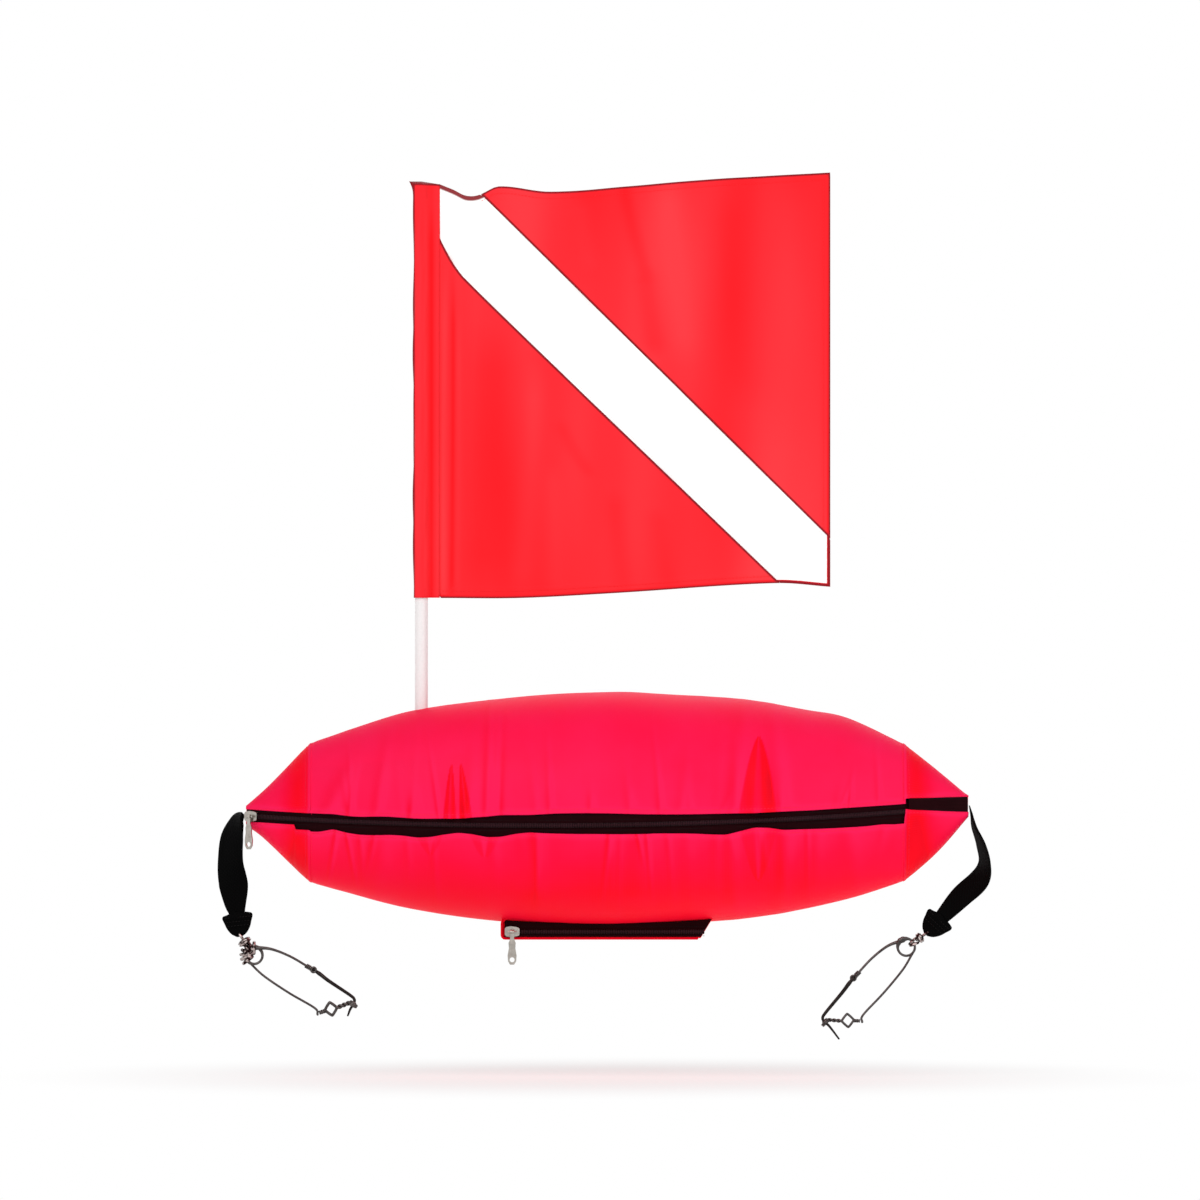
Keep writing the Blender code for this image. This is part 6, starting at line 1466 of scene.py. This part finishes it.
for name in ("left", "right"):
    matrix = direction_frame(holes[name], SWIVEL_ANGLES[name])
    loop = (eye_path(STRAP_EYE, STRAP_EYE, STRAP_EYE), SWIVEL_WIRE, True)
    eye = wires_object("swivel_loop_" + name, [loop], swivel_plate, matrix)
    turn = np.linspace(0, math.tau, 28, endpoint=False)[None, :]
    profile = np.array(BARREL_SHARES)
    width = profile[:, 0:1] * BARREL_RADII[name]
    rings = np.stack([BARREL_START + profile[:, 1:2] * BARREL_LENGTH + 0 * turn, width * np.cos(turn),
                      width * np.sin(turn)], axis=-1)
    points = moved(matrix, capped(rings))
    middle = tuple(points.reshape(-1, 3).mean(axis=0))
    barrel = grid_object("swivel_barrel_" + name, points, middle, loop=True)
    settle(eye, "swivel_" + name, "swivel_" + name)
    settle(barrel, "swivel_" + name, finish=swivel_plate)
    stem = [(BARREL_END - 1.5 * MM, 0, 0), (BARREL_END - 0.5 * MM, 0, 0), (CLIP_EYE_CENTRE - CLIP_EYE, 0, 0)]
    loops = [(stem, SWIVEL_WIRE, False)]
    for degrees in EYE_TURNS[name]:
        loop_centre = CLIP_EYE_CENTRE + LOOP_SHIFTS[name]
        loop = eye_path(loop_centre, LOOP_RADII[name], EYE_SPREAD) - [COIL_CENTRE, 0, 0]
        c, s = math.cos(math.radians(degrees)), math.sin(math.radians(degrees))
        loop = np.stack([loop[:, 0] * c, loop[:, 1], loop[:, 0] * s], axis=-1) + [COIL_CENTRE, 0, 0]
        loops.append((loop, SWIVEL_WIRE * WIRE_SHARES[name], True))
    eye = wires_object("swivel_turning_eye_" + name, loops, swivel_plate, matrix)
    settle(eye, "swivel_eye_" + name, "swivel_eye_" + name)


# Wire clips: one spring-steel wire bent into a coil and two arms, a heavier gate arm pinned through its
# eye, and a link of twisted wire that closes the clip at the far bend.
CLIP_LENGTH = 94 * MM
CLIP_WIDTH = 27.5 * MM
CLIP_WIRE = 1.05 * MM
CLIP_COIL_PITCH = 2.12 * MM
COIL_POINTS = 150
GATE_WIRE = 1.3 * MM
GATE_PIN = 0.6 * MM
GATE_EYE = 2.0 * MM
LINK_WIRE = 0.9 * MM
LINK_EYE = 3.1 * MM
LINK_PITCH = 1.9 * MM
LINK_DIAMOND = 5.2 * MM
CRIMP_LENGTH = 5 * MM
CRIMP_RADIUS = 1.5 * MM
CRIMP_WIRE = 0.75 * MM
CRIMP_TURNS = 3.5
LINK_TURNS = 2.3
OUTER_ARM = ((0.465, 0.59), (0.28, 0.57), (0.10, 0.45))
INNER_ARM = ((0.02, -0.28), (0.18, -0.38), (0.45, -0.41), (0.72, -0.385), (0.775, -0.51))
PIVOT = (0.528, 0.60)
GATE = ((0.60, 0.59), (0.70, 0.56), (0.93, 0.535), (0.985, 0.49), (1.0, 0.36), (1.0, 0.17))
GATE_TAILS = {"left": (1.012, -0.04), "right": (1.028, -0.31)}
GATE_SIZE_SHARES = ((0, 0.9), (0.12, 1.4), (0.5, 1.0), (0.8, 0.9), (1, 0.6))
LINK_EYE_PLACE = (1.0, 0.345)
LINK_LOOP_PLACE = (0.85, -0.14)
LINK_TIP_PLACE = (0.784, -0.415)
LINK_SHARES = {"left": 1.2, "right": 1.0}
COIL_START = math.radians(118)
COIL_STOP = math.radians(968)
# Coil: where it is thickest, how wide that part is, how much thicker, and how far its turns stand apart there
COIL_BULGES = {"left": (175, 85, 1.1, 1.0), "right": (98, 40, 0.85, 1.3)}
SIDEWAYS = np.array([0.0, 1.0, 0.0])


def clip_place(pair, level=0.0):
    """A place in the clip's frame from shares of its length and width."""
    return np.array([CLIP_LENGTH * pair[0], level, CLIP_WIDTH * pair[1]])


def towards(start, end):
    """The unit direction from one place to another."""
    return (end - start) / np.linalg.norm(end - start)


def twisted(start, end, radius, turns):
    """Paths of two strands wound round each other from start to end."""
    across = np.cross(towards(start, end), SIDEWAYS)
    t = np.linspace(0, 1, int(28 * turns))[:, None]
    made = []
    for strand in range(2):
        turn = math.tau * (turns * t + strand / 2)
        made.append(start + (end - start) * t + radius * (np.cos(turn) * SIDEWAYS + np.sin(turn) * across))
    return made


def frame_wires(name):
    """The clip's spring: coil, two arms, the pivot's eye and the crimp beside it."""
    middle, half_angle, bulge, apart = COIL_BULGES[name]
    low = -CLIP_COIL_PITCH * ((COIL_STOP - COIL_START) / math.tau) / 2
    angle = np.linspace(COIL_START, COIL_STOP, COIL_POINTS)
    from_bulge = np.exp(-(((np.degrees(angle) - middle + 180) % 360 - 180) / half_angle) ** 2)
    radius = CLIP_COIL_RADIUS + apart * MM * np.linspace(-1, 1, COIL_POINTS) * from_bulge
    coil = np.stack([radius * np.cos(angle), np.linspace(low, -low, COIL_POINTS), radius * np.sin(angle)],
                    axis=-1)
    pivot, first = clip_place(PIVOT), clip_place(OUTER_ARM[0])
    on = towards(pivot, first)
    outer = smooth_run([pivot + on * GATE_EYE, first, clip_place(OUTER_ARM[1], low / 2),
                        clip_place(OUTER_ARM[2], low), coil[0]])[:-1]
    inner = smooth_run([coil[-1], clip_place(INNER_ARM[0], -low), clip_place(INNER_ARM[1], -low / 2),
                        *(clip_place(pair) for pair in INNER_ARM[2:])])[1:]
    coil_sizes = CLIP_WIRE * (1 + bulge * from_bulge * (1 + 0.25 * np.sin(angle * 16)))
    outer_sizes = CLIP_WIRE * (1 + (coil_sizes[0] / CLIP_WIRE - 1) * np.linspace(0, 1, len(outer)) ** 6)
    sizes = np.concatenate([outer_sizes, coil_sizes, np.full(len(inner), CLIP_WIRE * 0.95)])
    ring = np.linspace(0, math.tau, 28, endpoint=False)
    eye = pivot + GATE_EYE * np.stack([np.cos(ring), 0 * ring, np.sin(ring)], axis=-1)
    wrap = np.linspace(0, math.tau * CRIMP_TURNS, 90)[:, None]
    crimp_run = np.linspace(-0.5, 0.5, 90)[:, None]
    crimp = (pivot + on * (GATE_EYE + CRIMP_LENGTH * 0.6) + crimp_run * CRIMP_LENGTH * on
             + CRIMP_RADIUS * (np.cos(wrap) * SIDEWAYS + np.sin(wrap) * np.cross(on, SIDEWAYS)))
    return [(np.concatenate([outer, coil, inner]), sizes, False), (eye, CLIP_WIRE, True),
            (crimp, CRIMP_WIRE, False)]


def gate_wires(name):
    """The clip's gate arm, and the pin that it turns on."""
    pivot = clip_place(PIVOT)
    beside = CLIP_WIRE + GATE_WIRE + GAP
    arm = smooth_run([pivot + SIDEWAYS * beside, clip_place(GATE[0], beside),
                      *(clip_place(pair) for pair in (*GATE[1:], GATE_TAILS[name]))])
    sizes = GATE_WIRE * np.interp(np.linspace(0, 1, len(arm)), *zip(*GATE_SIZE_SHARES))
    pin = [pivot - SIDEWAYS * (CLIP_WIRE + GAP), pivot, pivot + SIDEWAYS * beside]
    return [(arm, sizes, False), (pin, GATE_PIN, False)]


def link_wires(name):
    """The twisted link: its wrap round the gate arm, two twisted runs and a diamond between them."""
    wire = LINK_WIRE * LINK_SHARES[name]
    eye, loop, tip = clip_place(LINK_EYE_PLACE), clip_place(LINK_LOOP_PLACE), clip_place(LINK_TIP_PLACE)
    turn = np.linspace(math.pi, math.pi + math.tau * LINK_TURNS, 70)
    wrap = eye + np.stack([LINK_EYE * np.cos(turn), LINK_EYE * np.sin(turn),
                           LINK_PITCH * np.linspace(-0.8, 0.8, 70)], axis=-1)
    ahead, on = towards(eye, loop), towards(loop, tip)
    along, across = squared(np.linspace(0, math.tau, 28, endpoint=False), 1.8)
    upright = np.cross(ahead, SIDEWAYS)
    diamond = loop + LINK_DIAMOND * (along[:, None] * ahead + 1.1 * across[:, None] * upright)
    upper = twisted(eye + np.array([-LINK_EYE, 0, 0]), loop - ahead * LINK_DIAMOND, wire * 0.9, 1.6)
    lower = twisted(loop + on * LINK_DIAMOND, tip, wire * 0.8, 1.2)
    return [(wrap, wire, False), (diamond, wire * 1.15, True),
            *((path, wire * 1.05, False) for path in upper), *((path, wire, False) for path in lower)]


for name in ("left", "right"):
    ahead = Vector(direction(SWIVEL_ANGLES[name]))
    matrix = direction_frame(holes[name] + ahead * COIL_CENTRE, CLIP_ANGLES[name])
    if name == "right":
        matrix = matrix @ Matrix.Rotation(math.pi, 4, "X")
    for piece_name, wires, node_name, finish in (("clip_spring_", frame_wires, "clip_frame_", steel),
                                                 ("clip_gate_arm_", gate_wires, "clip_gate_", gate_steel),
                                                 ("clip_twisted_link_", link_wires, "clip_link_", steel)):
        piece = wires_object(piece_name + name, wires(name), finish, matrix)
        settle(piece, node_name + name, node_name + name)
